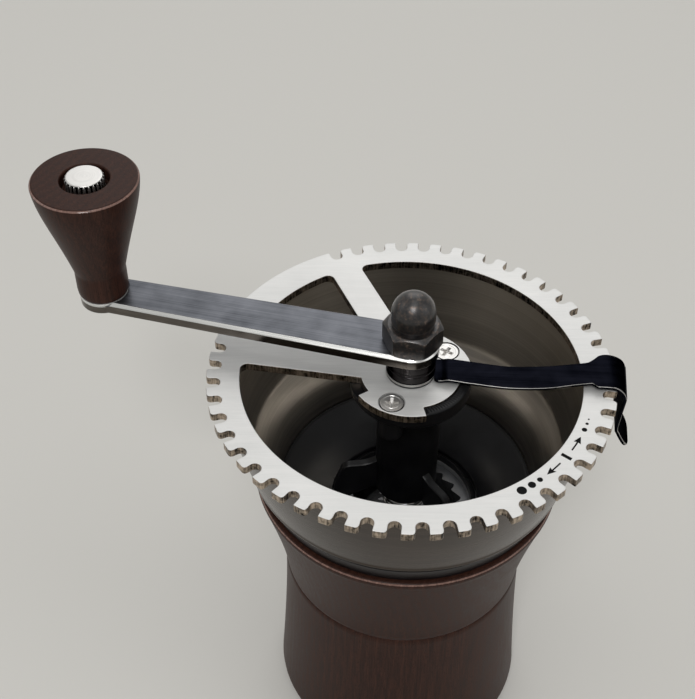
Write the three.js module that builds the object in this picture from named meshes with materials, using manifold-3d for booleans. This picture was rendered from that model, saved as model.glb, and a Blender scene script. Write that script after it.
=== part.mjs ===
import * as THREE from "three";
import { mergeVertices } from "three/addons/utils/BufferGeometryUtils.js";
import Module from "manifold-3d";

// Hand coffee mill: an hourglass wooden body on a push-on catch jar, a pressed steel hopper bowl,
// a toothed index wheel with a sprung selector lever, conical burrs and a crank with a turned knob.
// Millimetres, +Z up, origin at the centre of the foot's underside, on the axis of the drive shaft.

// Heights, from the table up
const FOOT_THICKNESS = 1.5;
const JAR_HEIGHT = 64.5;
const BODY_HEIGHT = 43;
const COLLAR_HEIGHT = 9.5;
const BOWL_HEIGHT = 28.7;
const BOWL_SEAT_DEPTH = 10;

// Running and fitting clearances, and how far a cut runs past the face that it opens
const FIT = 0.3;
const SHAFT_FIT = 0.2;
const SNUG_FIT = 0.1;
const OVERCUT = 1;
const RING_OVERCUT = 0.01;

// Burrs: a fixed toothed ring round a turning toothed cone
const BURR_RADIUS = 24;
const BURR_HEIGHT = 16;
const BURR_LIFT = 4;
const BURR_TEETH = 20;
const FLANK_STEPS = 2;
const BURR_TWIST = 22;
const BURR_GAP = 0.55;
const RING_WALL = 4.2;
const RING_ENTRY_WALL = 6.2;
const CONE_HEIGHT = 20;
const CONE_TOP_RADIUS = 9;
const CONE_OVERHANG = 1.5;
const CONE_STRAIGHT = 0.35;
const FLANK_SHARE = 0.6;
const FINE_TOOTH = 0.5;
const RING_TOOTH_GROWTH = 1.4;
const CONE_TOOTH_GROWTH = 1.9;

// Burr housing, and the plate under it that clamps the outer burr and plugs into the jar
const HOUSING_WALL = 9.5;
const HOUSING_FLANGE = 1.5;
const HOUSING_LIP = 2;
const LIP_REACH = 1.8;
const SPIGOT_LENGTH = 12;
const SPIGOT_GAP = 0.5;
const CHUTE_WALL = 3.2;
const HOUSING_RIM = 1.5;
const SEAL_WIRE = 1.2;
const SEAL_LEVEL = 6;
const SEAL_GROOVE_DEPTH = 1.9;
const SEAL_GROOVE_HEIGHT = 2.9;
const SEAL_SLACK = 0.15;
const RETAINER_PLATE = 3.2;
const RETAINER_REACH = 2.6;
const RETAINER_SCREWS = 3;
const RETAINER_SCREW_FROM = 30;
const RETAINER_SCREW_RADIUS = 1.4;
const RETAINER_SCREW_HEAD = 2.4;
const RETAINER_SCREW_HEAD_HEIGHT = 1.6;
const RETAINER_SCREW_EDGE = 0.5;
const RETAINER_SCREW_BITE = 6;

// Turned wooden jar and body, and the rubber pad under the jar
const PAD_INSET = 2.5;
const PAD_EDGE = 0.5;
const JAR_WALL = 6.2;
const JAR_FLOOR = 7.5;
const JAR_FLOOR_ROUND = 1.2;
const JAR_FLARE = 3.5;
const JAR_CURVE = 1.5;
const BODY_CURVE = 1.35;
const BEAD_OVERHANG = 1.4;
const BEAD_DROP = 1.6;
const BEAD_ROUND = 0.5;
const EDGE_ROUND = 1;
const PARTING_ROUND = 0.6;
const MOUTH_CHAMFER = 0.8;
const WOOD_REVEAL = 0.5;

// Steel hopper bowl, the collar under it and the funnel floor
const BOWL_WALL = 1.2;
const BOWL_TAPER = 0.19;
const BOWL_BELLY = 0.0016;
const NECK_DRAW = 8.1;
const NECK_CURVE = 1.8;
const COLLAR_DROP = 2.3;
const COLLAR_LIP = 0.25;
const COLLAR_FOOT = 1.9;
const THROAT_MARGIN = 0.5;
const FUNNEL_WALL = 1.6;
const FUNNEL_KNEE_WALL = 1.4;
const FUNNEL_LIP = 0.8;
const FUNNEL_LIP_WIDTH = 1;
const FUNNEL_FLANGE = 5.5;

// Index wheel: fifty pitches, forty-three of them cut as notches
const WHEEL_RADIUS = 62;
const WHEEL_THICKNESS = 2.8;
const PITCHES = 50;
const LAST_NOTCH = 21;
const NOTCH_DEPTH = 4.3;
const NOTCH_WIDTH = 3.7;
const TIP_FLARE = 0.6;
const TIP_DEPTH = 1.2;
const RIM_WIDTH = 5.8;
const BOWL_INSET = 4.5;
const MARK_ANGLE = 321.3;
const SPOKE_WIDTH = 10.3;
const WINDOW_ROUND = 2.2;
const HUB_RADIUS = 18.9;
const HUB_CUT_RADIUS = 15.3;
const ARC_HALF_ANGLE = 39.3;
const CUT_FROM_MARK = 121.3;
const CUT_HALF_ANGLE = 12;
const HUB_SCREW_CIRCLE = 14.4;
const HUB_SCREW_FROM_MARK = 76.5;
const HUB_SCREW_HEAD = 3.7;
const HUB_SCREW_RADIUS = 2;
const HUB_SCREW_LENGTH = 11;
const HUB_SCREW_POINT = 0.5;
const HUB_SCREW_SINK = 0.1;
const CROSS_REACH = 4;
const CROSS_SLOT = 0.9;
const CROSS_DEPTH = 1.4;
const CROSS_TURN = 20;

// Hub column: head, tube, three ribs and the foot ring
const COLUMN_WALL = 3;
const HEAD_THICKNESS = 3.2;
const HEAD_INSET = 0.4;
const HEAD_EDGE = 0.8;
const HEAD_GUSSET = 3;
const HEAD_GUSSET_HEIGHT = 5;
const BUSH_LENGTH = 22;
const BUSH_TRAVEL = 3;
const BUSH_FLOOR_TAPER = 1.5;
const BEARING_LENGTH = 9;
const BEARING_WALL = 2;
const BEARING_FLANGE = 0.8;
const BEARING_FLANGE_INSET = 1;
const SCREW_BOSS_WALL = 1.6;
const RIBS = 3;
const RIB_ANGLE = -54;
const RIB_THICKNESS = 2.6;
const RIB_TOP_DROP = 40;
const RIB_TOP_RADIUS = 20.6;
const RIB_ROOT = 0.6;
const RIB_SHOULDER = 3;
const RIB_SHOULDER_DROP = 2;
const RIB_HEEL = 2;
const RIB_FOOT_GAP = 0.8;
const RIB_FOOT_WIDTH = 1.8;
const RIB_FOOT_RISE = 0.5;
const RIB_ARCH_SET_IN = 1;
const RIB_ARCH_DROP = 5;
const FOOT_RING_EDGE = 1.6;
const FOOT_RING_HEIGHT = 3;
const COLUMN_FOOT_DROP = 51;

// Adjusting bush, selector lever and its tongue
const NECK_WALL = 0.9;
const THREAD_HEIGHT = 0.9;
const BUSH_CHAMFER = 0.6;
const NECK_SHORT = 0.4;
const LEVER_THICKNESS = 1;
const LEVER_ANGLE = -2.7;
const EYE_GAP = 0.6;
const EYE_WIDTH = 1.4;
const STRIP_RISE = 0.8;
const CLAMP_HEIGHT = 2.6;
const CLAMP_EDGE = 0.3;
const THRUST_HEIGHT = 1;
const THRUST_INSET = 0.5;
const HEAD_LENGTH = 9;
const TAB_CLEARANCE = 2.2;
const BEND_RADIUS = 5.2;
const BEND_STEP = 15;
const TAB_DROP = 17;
const TAB_LEAN = 0.8;
const TAB_FLARE = 4.5;
const TAB_HEIGHT = 27;
const TAB_HALF_WIDTH = 7.1;
const TONGUE_GAP = 0.25;
const TONGUE_SIDE = 0.35;
const TONGUE_REACH = 3.3;
const TONGUE_FOOT = 0.5;
const TONGUE_CHAMFER = 1;

// Shaft, crank, nut and knob
const SHAFT_RADIUS = 5;
const SHAFT_FLAT = 4.1;
const CRANK_ANGLE = 165.6;
const CRANK_REACH = 98;
const ARM_THICKNESS = 4.2;
const ARM_BEVEL = 1.1;
const ARM_KNOB_HALF = 6.7;
const ARM_END_RADIUS = 7.5;
const ARM_EDGE = 0.5;
const ARM_HUB_MARGIN = 0.8;
const BOSS_HEIGHT = 3;
const SPOT_FACE_DEPTH = 1.2;
const SPOT_FACE_RADIUS = 8;
const NUT_WALL = 3;
const NUT_HEIGHT = 7.5;
const NUT_NECK = 4.4;
const NUT_TURN = -72;
const NUT_CHAMFER = 1;
const NUT_CHAMFER_SET_IN = 0.2;
const DOME_SET_IN = 1.2;
const DOME_STEPS = 5;
const SHAFT_TIP_RISE = 1.5;
const SHAFT_END_DROP = 8;
const BURR_NUT_HEIGHT = 5;
const KNOB_HEIGHT = 42;
const KNOB_TOP_RADIUS = 15.9;
const KNOB_WAIST_RADIUS = 7.9;
const KNOB_SHANK = 9.5;
const KNOB_SHOULDER = 0.7;
const KNOB_EDGE = 0.6;
const KNOB_FOOT_SET_IN = 0.7;
const KNOB_FOOT_ROUND = 0.2;
const KNOB_FOOT_RISE = 0.8;
const KNOB_RECESS_RADIUS = 7.25;
const KNOB_RECESS_DEPTH = 4;
const KNOB_RECESS_EDGE = 0.3;
const KNOB_SCREW_HEAD = 5.8;
const KNOB_SCREW_EDGE = 0.6;
const KNOB_SCREW_RADIUS = 3;
const KNOB_SCREW_RISE = 1;
const KNOB_WASHER = 0.7;
const KNOB_WASHER_INSET = 0.4;

// Spring between the column's bearing and the cone
const SPRING_WIRE = 0.55;
const SPRING_CLEARANCE = 1;
const SPRING_TURNS = 4;
const SPRING_STEPS = 10;
const SPRING_SIDES = 5;

// Facets
const ROUND = 32;
const MIDDLE_ROUND = 26;
const SMALL_ROUND = 18;
const SCREW_ROUND = 12;
const HOLE_ROUND = 8;
const CORNER_STEPS = 4;
const RIM_STEP = 7;
const HUB_STEP = 15;
const BLANK_STEPS = 12;

// Levels and radii that follow from the driving sizes
const PITCH_ANGLE = 360 / PITCHES;
const SPOKE_FROM_MARK = LAST_NOTCH * PITCH_ANGLE;
const JAR_BASE = FOOT_THICKNESS;
const PARTING = JAR_BASE + JAR_HEIGHT;
const BODY_TOP = PARTING + BODY_HEIGHT;
const COLLAR_TOP = BODY_TOP + COLLAR_HEIGHT;
const WHEEL_BASE = COLLAR_TOP + BOWL_HEIGHT;
const WHEEL_TOP = WHEEL_BASE + WHEEL_THICKNESS;
const BOWL_BASE = BODY_TOP - BOWL_SEAT_DEPTH;
const COLLAR_EDGE = COLLAR_TOP - COLLAR_DROP;
const HOUSING_TOP = BOWL_BASE - FUNNEL_FLANGE;
const BURR_BASE = PARTING + BURR_LIFT;
const BURR_TOP = BURR_BASE + BURR_HEIGHT;
const LIP_TOP = BURR_TOP + HOUSING_LIP;
const CONE_BASE = BURR_BASE - CONE_OVERHANG;
const CONE_TOP = CONE_BASE + CONE_HEIGHT;
const HOUSING_RADIUS = BURR_RADIUS + FIT + HOUSING_WALL;
const CHUTE_RADIUS = HOUSING_RADIUS - CHUTE_WALL;
const RETAINER_SEAT = BURR_BASE - RETAINER_PLATE;
const RETAINER_SCREW_CIRCLE = (BURR_RADIUS + CHUTE_RADIUS) / 2;
const SPIGOT_END = PARTING - SPIGOT_LENGTH;
const JAR_BORE = HOUSING_RADIUS + SPIGOT_GAP;
const WAIST_RADIUS = JAR_BORE + JAR_WALL;
const RIM_RADIUS = WHEEL_RADIUS - BOWL_INSET;
const COLLAR_RIM_RADIUS = RIM_RADIUS - BOWL_TAPER * BOWL_HEIGHT - BOWL_BELLY * BOWL_HEIGHT ** 2;
const THROAT_RADIUS = BURR_RADIUS + THROAT_MARGIN;
const NECK_RADIUS = SHAFT_RADIUS + SHAFT_FIT + NECK_WALL;
const BUSH_RADIUS = NECK_RADIUS + THREAD_HEIGHT;
const EYE_RADIUS = NECK_RADIUS + EYE_WIDTH + SNUG_FIT;
const BOSS_RADIUS = EYE_RADIUS - SHAFT_FIT;
const COLUMN_RADIUS = BUSH_RADIUS + COLUMN_WALL;
const COLUMN_FOOT = WHEEL_TOP - COLUMN_FOOT_DROP;
const HEAD_BASE = WHEEL_BASE - HEAD_THICKNESS;
const HEAD_RADIUS = HUB_RADIUS - HEAD_INSET;
const BEARING_BASE = COLUMN_FOOT - BEARING_FLANGE;
const EYE_BASE = WHEEL_TOP + EYE_GAP;
const CLAMP_BASE = EYE_BASE + LEVER_THICKNESS;
const THRUST_BASE = CLAMP_BASE + CLAMP_HEIGHT;
const BOSS_BASE = THRUST_BASE + THRUST_HEIGHT;
const ARM_BASE = BOSS_BASE + BOSS_HEIGHT;
const ARM_TOP = ARM_BASE + ARM_THICKNESS;
const SPOT_FACE = ARM_TOP - SPOT_FACE_DEPTH;
const KNOB_BASE = SPOT_FACE + KNOB_WASHER;
const KNOB_TOP = KNOB_BASE + KNOB_HEIGHT;
const NUT_HALF_FLATS = SHAFT_RADIUS + NUT_WALL;
const DOME_RADIUS = NUT_HALF_FLATS - DOME_SET_IN;
const DOME_CENTRE = ARM_TOP + NUT_HEIGHT + NUT_NECK;

const wasm = await Module();
wasm.setup();

const rad = THREE.MathUtils.degToRad;
const grinder = new THREE.Group();

// A closed geometry as a solid that can be joined and cut.
function solidOf(geometry) {
  const bare = geometry.clone();
  bare.deleteAttribute("normal");
  bare.deleteAttribute("uv");
  const merged = mergeVertices(bare, 1e-4);
  return new wasm.Manifold(
    new wasm.Mesh({
      numProp: 3,
      vertProperties: new Float32Array(merged.attributes.position.array),
      triVerts: new Uint32Array(merged.index.array),
    }),
  );
}

function geometryOf(solid) {
  const mesh = solid.getMesh();
  const geometry = new THREE.BufferGeometry();
  geometry.setAttribute("position", new THREE.BufferAttribute(mesh.vertProperties, 3));
  geometry.setIndex(new THREE.BufferAttribute(mesh.triVerts, 1));
  const flat = geometry.toNonIndexed();
  flat.computeVertexNormals();
  return flat;
}

// A profile of [radius, height] points turned about the shaft's axis.
function turned(profile, segments = ROUND) {
  const area = profile.reduce((sum, [r, z], i) => {
    const [nextR, nextZ] = profile[(i + 1) % profile.length];
    return sum + r * nextZ - nextR * z;
  }, 0);
  const points = profile.map(([r, z]) => new THREE.Vector2(r, z));
  if (area < 0) points.reverse();
  if (profile.every(([r]) => r > 0)) points.push(points[0].clone());
  return new THREE.LatheGeometry(points, segments).rotateX(Math.PI / 2);
}

function cylinder(radius, base, top, segments = SMALL_ROUND) {
  const profile = [
    [0, base],
    [radius, base],
    [radius, top],
    [0, top],
  ];
  return solidOf(turned(profile, segments));
}

function box(width, depth, base, top) {
  const geometry = new THREE.BoxGeometry(width, depth, top - base);
  return solidOf(geometry.translate(0, 0, (base + top) / 2));
}

// An outline, with any holes, raised from one level to another.
function raised(outline, base, top, holes = []) {
  const shape = new THREE.Shape(outline);
  for (const hole of holes) shape.holes.push(new THREE.Path(hole));
  const geometry = new THREE.ExtrudeGeometry(shape, { depth: top - base, bevelEnabled: false });
  return geometry.translate(0, 0, base);
}

function arc(centre, radius, from, to, steps) {
  return Array.from({ length: steps + 1 }, (_, i) => {
    const angle = rad(from + ((to - from) * i) / steps);
    return new THREE.Vector2(
      centre.x + radius * Math.cos(angle),
      centre.y + radius * Math.sin(angle),
    );
  });
}

function polar(radius, angle) {
  return new THREE.Vector2(radius * Math.cos(rad(angle)), radius * Math.sin(rad(angle)));
}

const axis = new THREE.Vector2(0, 0);

function annularSector(inner, outer, from, to, base, top) {
  const steps = Math.max(2, Math.ceil(Math.abs(to - from) / 7.5));
  const outline = [...arc(axis, outer, from, to, steps), ...arc(axis, inner, to, from, steps)];
  return solidOf(raised(outline, base, top));
}

// Rings with the same number of points, joined in order and closed at both ends.
function lofted(rings) {
  const count = rings[0].length;
  const positions = rings.flat().flatMap((p) => [p.x, p.y, p.z]);
  const index = [];
  for (let ring = 0; ring + 1 < rings.length; ring++)
    for (let i = 0; i < count; i++) {
      const a = ring * count + i;
      const b = ring * count + ((i + 1) % count);
      index.push(a, b, b + count, a, b + count, a + count);
    }
  const last = (rings.length - 1) * count;
  for (let i = 1; i + 1 < count; i++) {
    index.push(0, i + 1, i);
    index.push(last, last + i, last + i + 1);
  }
  const geometry = new THREE.BufferGeometry();
  geometry.setAttribute("position", new THREE.Float32BufferAttribute(positions, 3));
  geometry.setIndex(index);
  return geometry;
}

function finish(color, roughness, metalness) {
  return new THREE.MeshStandardMaterial({ color, roughness, metalness });
}

const brushedSteel = finish(0xd9d9d6, 0.34, 1);
const spunSteel = finish(0xb9b4ac, 0.3, 1);
const polishedSteel = finish(0x9ea1a6, 0.2, 1);
const springSteel = finish(0x2b3038, 0.28, 1);
const blackOxide = finish(0x1c1613, 0.38, 1);
const burrSteel = finish(0x77787a, 0.4, 1);
const castAluminium = finish(0x8d8f90, 0.55, 1);
const bronze = finish(0x9a7a42, 0.4, 1);
const darkWood = finish(0x3b241b, 0.42, 0);
const blackPlastic = finish(0x141516, 0.5, 0);
const rubber = finish(0x101010, 0.85, 0);

function add(group, name, shape, material) {
  const geometry = shape.isBufferGeometry ? shape : geometryOf(shape);
  const mesh = new THREE.Mesh(geometry, material);
  mesh.name = name;
  group.add(mesh);
  return mesh;
}

// Outer radius of the wooden hourglass at a height, jar and body together.
function woodRadius(z) {
  if (z < PARTING) return WAIST_RADIUS + JAR_FLARE * ((PARTING - z) / JAR_HEIGHT) ** JAR_CURVE;
  const flare = bodyCrown() - WAIST_RADIUS;
  return WAIST_RADIUS + flare * ((z - PARTING) / (BODY_HEIGHT - BEAD_DROP)) ** BODY_CURVE;
}

function bowlRadius(z) {
  if (z >= COLLAR_TOP) {
    const drop = WHEEL_BASE - z;
    return RIM_RADIUS - BOWL_TAPER * drop - BOWL_BELLY * drop ** 2;
  }
  const share = (COLLAR_TOP - z) / (COLLAR_TOP - BOWL_BASE);
  return COLLAR_RIM_RADIUS - NECK_DRAW * (1 - (1 - share) ** NECK_CURVE);
}

// Levels where the bowl's neck, the wood's seat and the collar all have a ring of points.
const seatLevels = [BOWL_BASE, (BOWL_BASE + BODY_TOP) / 2, BODY_TOP];
const collarLevels = [BODY_TOP, (BODY_TOP + COLLAR_EDGE) / 2, COLLAR_EDGE];

function atLevels(radiusAt, levels) {
  return levels.map((z) => [radiusAt(z), z]);
}

function collarFootRadius() {
  return bowlRadius(BODY_TOP) + FIT + COLLAR_FOOT;
}

function bodyCrown() {
  return collarFootRadius() + WOOD_REVEAL + BEAD_OVERHANG;
}

// Points at even heights along a radius that changes with height.
function along(radiusAt, from, to, steps) {
  return Array.from({ length: steps + 1 }, (_, i) => {
    const z = from + ((to - from) * i) / steps;
    return [radiusAt(z), z];
  });
}

function footPad() {
  const radius = WAIST_RADIUS + JAR_FLARE - PAD_INSET;
  return turned([
    [0, 0],
    [radius - PAD_EDGE, 0],
    [radius, PAD_EDGE],
    [radius, FOOT_THICKNESS],
    [0, FOOT_THICKNESS],
  ]);
}

function catchJar() {
  const floor = JAR_BASE + JAR_FLOOR;
  const baseRadius = WAIST_RADIUS + JAR_FLARE;
  const corner = EDGE_ROUND * (1 - Math.SQRT1_2);
  return turned([
    [0, JAR_BASE],
    [baseRadius - EDGE_ROUND, JAR_BASE],
    [baseRadius - corner, JAR_BASE + corner],
    ...along(woodRadius, JAR_BASE + EDGE_ROUND, PARTING - PARTING_ROUND, 5),
    [WAIST_RADIUS - PARTING_ROUND, PARTING],
    [JAR_BORE + MOUTH_CHAMFER, PARTING],
    [JAR_BORE, PARTING - MOUTH_CHAMFER],
    [JAR_BORE, floor + JAR_FLOOR_ROUND],
    [JAR_BORE - JAR_FLOOR_ROUND, floor],
    [0, floor],
  ]);
}

function millBody() {
  const bore = HOUSING_RADIUS + FIT;
  const seat = bowlRadius(BOWL_BASE) + FIT;
  const crown = bodyCrown();
  return turned([
    [bore, PARTING],
    [WAIST_RADIUS - PARTING_ROUND, PARTING],
    ...along(woodRadius, PARTING + PARTING_ROUND, BODY_TOP - BEAD_DROP - BEAD_ROUND, 5),
    [crown, BODY_TOP - BEAD_DROP],
    [crown - BEAD_ROUND, BODY_TOP - BEAD_ROUND],
    [collarFootRadius() + WOOD_REVEAL, BODY_TOP],
    ...atLevels((z) => bowlRadius(z) + FIT, seatLevels).reverse(),
    [seat, HOUSING_TOP - HOUSING_FLANGE],
    [bore, HOUSING_TOP - HOUSING_FLANGE],
  ]);
}

// Aluminium housing: flange on the wood's ledge, and the burr's seat under a lip.
function burrHousing() {
  const flangeRadius = bowlRadius(BOWL_BASE);
  const flangeBase = HOUSING_TOP - HOUSING_FLANGE;
  const rimRadius = HOUSING_RADIUS - HOUSING_RIM;
  const lipRadius = BURR_RADIUS - LIP_REACH;
  const ring = turned([
    [BURR_RADIUS + FIT, BURR_BASE],
    [HOUSING_RADIUS, BURR_BASE],
    [HOUSING_RADIUS, flangeBase],
    [flangeRadius, flangeBase],
    [flangeRadius, HOUSING_TOP],
    [rimRadius, HOUSING_TOP],
    [rimRadius, LIP_TOP],
    [lipRadius, LIP_TOP],
    [lipRadius, BURR_TOP],
    [BURR_RADIUS + FIT, BURR_TOP],
  ]);
  return drilled(solidOf(ring), BURR_BASE - OVERCUT, BURR_BASE + RETAINER_SCREW_BITE + OVERCUT);
}

// Plate that holds the outer burr up, with the sealed spigot that plugs into the jar.
function burrRetainer() {
  const bore = BURR_RADIUS - RETAINER_REACH;
  const grooveRadius = HOUSING_RADIUS - SEAL_GROOVE_DEPTH;
  const grooveBase = SPIGOT_END + SEAL_LEVEL - SEAL_GROOVE_HEIGHT / 2;
  const grooveTop = grooveBase + SEAL_GROOVE_HEIGHT;
  const ring = turned([
    [CHUTE_RADIUS, SPIGOT_END],
    [HOUSING_RADIUS, SPIGOT_END],
    [HOUSING_RADIUS, grooveBase],
    [grooveRadius, grooveBase],
    [grooveRadius, grooveTop],
    [HOUSING_RADIUS, grooveTop],
    [HOUSING_RADIUS, BURR_BASE],
    [bore, BURR_BASE],
    [bore, RETAINER_SEAT],
    [CHUTE_RADIUS, RETAINER_SEAT],
  ]);
  return drilled(solidOf(ring), RETAINER_SEAT - OVERCUT, BURR_BASE + OVERCUT);
}

function retainerScrewAngles() {
  const apart = 360 / RETAINER_SCREWS;
  return Array.from({ length: RETAINER_SCREWS }, (_, i) => RETAINER_SCREW_FROM + i * apart);
}

// The solid with the retainer's screw holes cut from one level to another.
function drilled(solid, base, top) {
  return retainerScrewAngles().reduce((whole, angle) => {
    const at = polar(RETAINER_SCREW_CIRCLE, angle);
    const hole = cylinder(RETAINER_SCREW_RADIUS + SHAFT_FIT, base, top, HOLE_ROUND);
    return whole.subtract(hole.translate([at.x, at.y, 0]));
  }, solid);
}

function retainerScrew(angle) {
  const at = polar(RETAINER_SCREW_CIRCLE, angle);
  const headBase = RETAINER_SEAT - RETAINER_SCREW_HEAD_HEIGHT;
  const screw = turned(
    [
      [0, headBase],
      [RETAINER_SCREW_HEAD - RETAINER_SCREW_EDGE, headBase],
      [RETAINER_SCREW_HEAD, headBase + RETAINER_SCREW_EDGE],
      [RETAINER_SCREW_HEAD, RETAINER_SEAT],
      [RETAINER_SCREW_RADIUS, RETAINER_SEAT],
      [RETAINER_SCREW_RADIUS, BURR_BASE + RETAINER_SCREW_BITE],
      [0, BURR_BASE + RETAINER_SCREW_BITE],
    ],
    HOLE_ROUND,
  );
  return screw.translate(at.x, at.y, 0);
}

// Rubber ring, drawn a little thinner than its groove and clear of the jar's bore.
function sealRing() {
  const wire = SEAL_WIRE - SEAL_SLACK;
  const centre = HOUSING_RADIUS - SEAL_GROOVE_DEPTH + wire + SEAL_SLACK;
  return new THREE.TorusGeometry(centre, wire, 6, ROUND).translate(0, 0, SPIGOT_END + SEAL_LEVEL);
}

function bowlCollar() {
  const inner = (z) => bowlRadius(z) + FIT;
  return turned([
    [collarFootRadius(), BODY_TOP],
    [inner(COLLAR_EDGE) + COLLAR_LIP, COLLAR_EDGE],
    ...atLevels(inner, collarLevels).reverse(),
  ]);
}

// Pressed and spun bowl: a belly that tapers down to the collar, then a drawn-in neck.
function hopperBowl() {
  const belly = (COLLAR_TOP + WHEEL_BASE) / 2;
  const levels = [...seatLevels, ...collarLevels.slice(1), COLLAR_TOP, belly, WHEEL_BASE];
  return turned([
    ...atLevels(bowlRadius, levels),
    ...atLevels((z) => bowlRadius(z) - BOWL_WALL, levels).reverse(),
  ]);
}

// Funnel from the bowl down to the burrs, clamped by its flange between bowl and housing.
function funnelFloor() {
  const flangeRadius = bowlRadius(BOWL_BASE);
  const floorRadius = flangeRadius - BOWL_WALL - FIT;
  const kneeRadius = HOUSING_RADIUS - HOUSING_RIM - FIT;
  const lipTop = BOWL_BASE + FUNNEL_LIP;
  const throatTop = LIP_TOP + FUNNEL_WALL + FUNNEL_LIP;
  const lipRadius = floorRadius - FUNNEL_LIP_WIDTH;
  const slope = (lipTop - throatTop) / (lipRadius - THROAT_RADIUS);
  const sloped = throatTop + slope * (kneeRadius - THROAT_RADIUS);
  const kneeTop = Math.max(sloped, HOUSING_TOP + FUNNEL_KNEE_WALL);
  return turned([
    [THROAT_RADIUS, LIP_TOP],
    [THROAT_RADIUS + FUNNEL_WALL, LIP_TOP],
    [kneeRadius, HOUSING_TOP - FUNNEL_WALL],
    [kneeRadius, HOUSING_TOP],
    [flangeRadius, HOUSING_TOP],
    [flangeRadius, BOWL_BASE],
    [floorRadius, BOWL_BASE],
    [floorRadius, lipTop],
    [lipRadius, lipTop],
    [kneeRadius, kneeTop],
    [THROAT_RADIUS, throatTop],
  ]);
}

// One window of the wheel, between the left side of one spoke and the right side of the next.
function windowOutline(fromSpoke, toSpoke) {
  const outer = WHEEL_RADIUS - NOTCH_DEPTH - RIM_WIDTH;
  const half = SPOKE_WIDTH / 2 + WINDOW_ROUND;
  const outerReach = Math.sqrt((outer - WINDOW_ROUND) ** 2 - half ** 2);
  const innerReach = Math.sqrt((HUB_RADIUS + WINDOW_ROUND) ** 2 - half ** 2);
  const outerSwing = THREE.MathUtils.radToDeg(Math.atan2(half, outerReach));
  const innerSwing = THREE.MathUtils.radToDeg(Math.atan2(half, innerReach));
  const round = (spoke, side, reach) => {
    const turn = rad(spoke);
    return new THREE.Vector2(
      reach * Math.cos(turn) - side * half * Math.sin(turn),
      reach * Math.sin(turn) + side * half * Math.cos(turn),
    );
  };
  const corner = (spoke, side, reach, from, to) =>
    arc(round(spoke, side, reach), WINDOW_ROUND, from, to, CORNER_STEPS);
  const span = toSpoke - fromSpoke;
  const outerSteps = Math.ceil(span / RIM_STEP);
  const innerSteps = Math.ceil(span / HUB_STEP);
  return [
    ...corner(fromSpoke, 1, outerReach, fromSpoke - 90, fromSpoke + outerSwing),
    ...arc(axis, outer, fromSpoke + outerSwing, toSpoke - outerSwing, outerSteps).slice(1, -1),
    ...corner(toSpoke, -1, outerReach, toSpoke - outerSwing, toSpoke + 90),
    ...corner(toSpoke, -1, innerReach, toSpoke + 90, toSpoke + 180 - innerSwing),
    ...arc(axis, HUB_RADIUS, toSpoke - innerSwing, fromSpoke + innerSwing, innerSteps).slice(1, -1),
    ...corner(fromSpoke, 1, innerReach, fromSpoke + 180 + innerSwing, fromSpoke + 270),
  ];
}

// The wheel's rim: round-bottomed notches on all but seven pitches, each flared where it meets the tips.
function rimOutline() {
  const rootRound = NOTCH_WIDTH / 2;
  const rootCentre = WHEEL_RADIUS - NOTCH_DEPTH + rootRound;
  const mouth = THREE.MathUtils.radToDeg((rootRound + TIP_FLARE) / WHEEL_RADIUS);
  const points = [];
  for (let notch = -LAST_NOTCH; notch <= LAST_NOTCH; notch++) {
    const angle = MARK_ANGLE + notch * PITCH_ANGLE;
    const side = (sign) => {
      const base = polar(WHEEL_RADIUS - TIP_DEPTH, angle);
      return new THREE.Vector2(
        base.x - sign * rootRound * Math.sin(rad(angle)),
        base.y + sign * rootRound * Math.cos(rad(angle)),
      );
    };
    points.push(polar(WHEEL_RADIUS, angle - mouth), side(-1));
    points.push(...arc(polar(rootCentre, angle), rootRound, angle - 90, angle - 270, CORNER_STEPS));
    points.push(side(1), polar(WHEEL_RADIUS, angle + mouth));
  }
  const blankFrom = MARK_ANGLE + LAST_NOTCH * PITCH_ANGLE + mouth;
  const blankTo = MARK_ANGLE - LAST_NOTCH * PITCH_ANGLE + 360 - mouth;
  points.push(...arc(axis, WHEEL_RADIUS, blankFrom, blankTo, BLANK_STEPS).slice(1, -1));
  return points;
}

function hubScrewAngles() {
  return [-HUB_SCREW_FROM_MARK, HUB_SCREW_FROM_MARK, 180].map((turn) => MARK_ANGLE + turn);
}

// Stainless plate: notched rim, two spokes, hub disc with its cut-outs and countersunk holes.
function indexWheel() {
  const spokes = [MARK_ANGLE + SPOKE_FROM_MARK, MARK_ANGLE + 360 - SPOKE_FROM_MARK];
  const windows = [windowOutline(spokes[0], spokes[1]), windowOutline(spokes[1], spokes[0] + 360)];
  let plate = solidOf(raised(rimOutline(), WHEEL_BASE, WHEEL_TOP, windows));
  const below = WHEEL_BASE - OVERCUT;
  const above = WHEEL_TOP + OVERCUT;
  plate = plate.subtract(cylinder(BUSH_RADIUS + FIT, below, above));
  const cuts = [
    [0, ARC_HALF_ANGLE],
    [-CUT_FROM_MARK, CUT_HALF_ANGLE],
    [CUT_FROM_MARK, CUT_HALF_ANGLE],
  ];
  for (const [middle, half] of cuts) {
    const from = MARK_ANGLE + middle - half;
    const outer = HUB_RADIUS + OVERCUT;
    plate = plate.subtract(annularSector(HUB_CUT_RADIUS, outer, from, from + 2 * half, below, above));
  }
  for (const angle of hubScrewAngles()) {
    const at = polar(HUB_SCREW_CIRCLE, angle);
    const sink = turned(
      [
        [0, below],
        [HUB_SCREW_RADIUS + SHAFT_FIT, below],
        [HUB_SCREW_RADIUS + SHAFT_FIT, WHEEL_TOP - HUB_SCREW_HEAD + HUB_SCREW_RADIUS],
        [HUB_SCREW_HEAD + SHAFT_FIT, WHEEL_TOP],
        [HUB_SCREW_HEAD + SHAFT_FIT, above],
        [0, above],
      ],
      SCREW_ROUND,
    );
    plate = plate.subtract(solidOf(sink.translate(at.x, at.y, 0)));
  }
  return plate;
}

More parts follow.
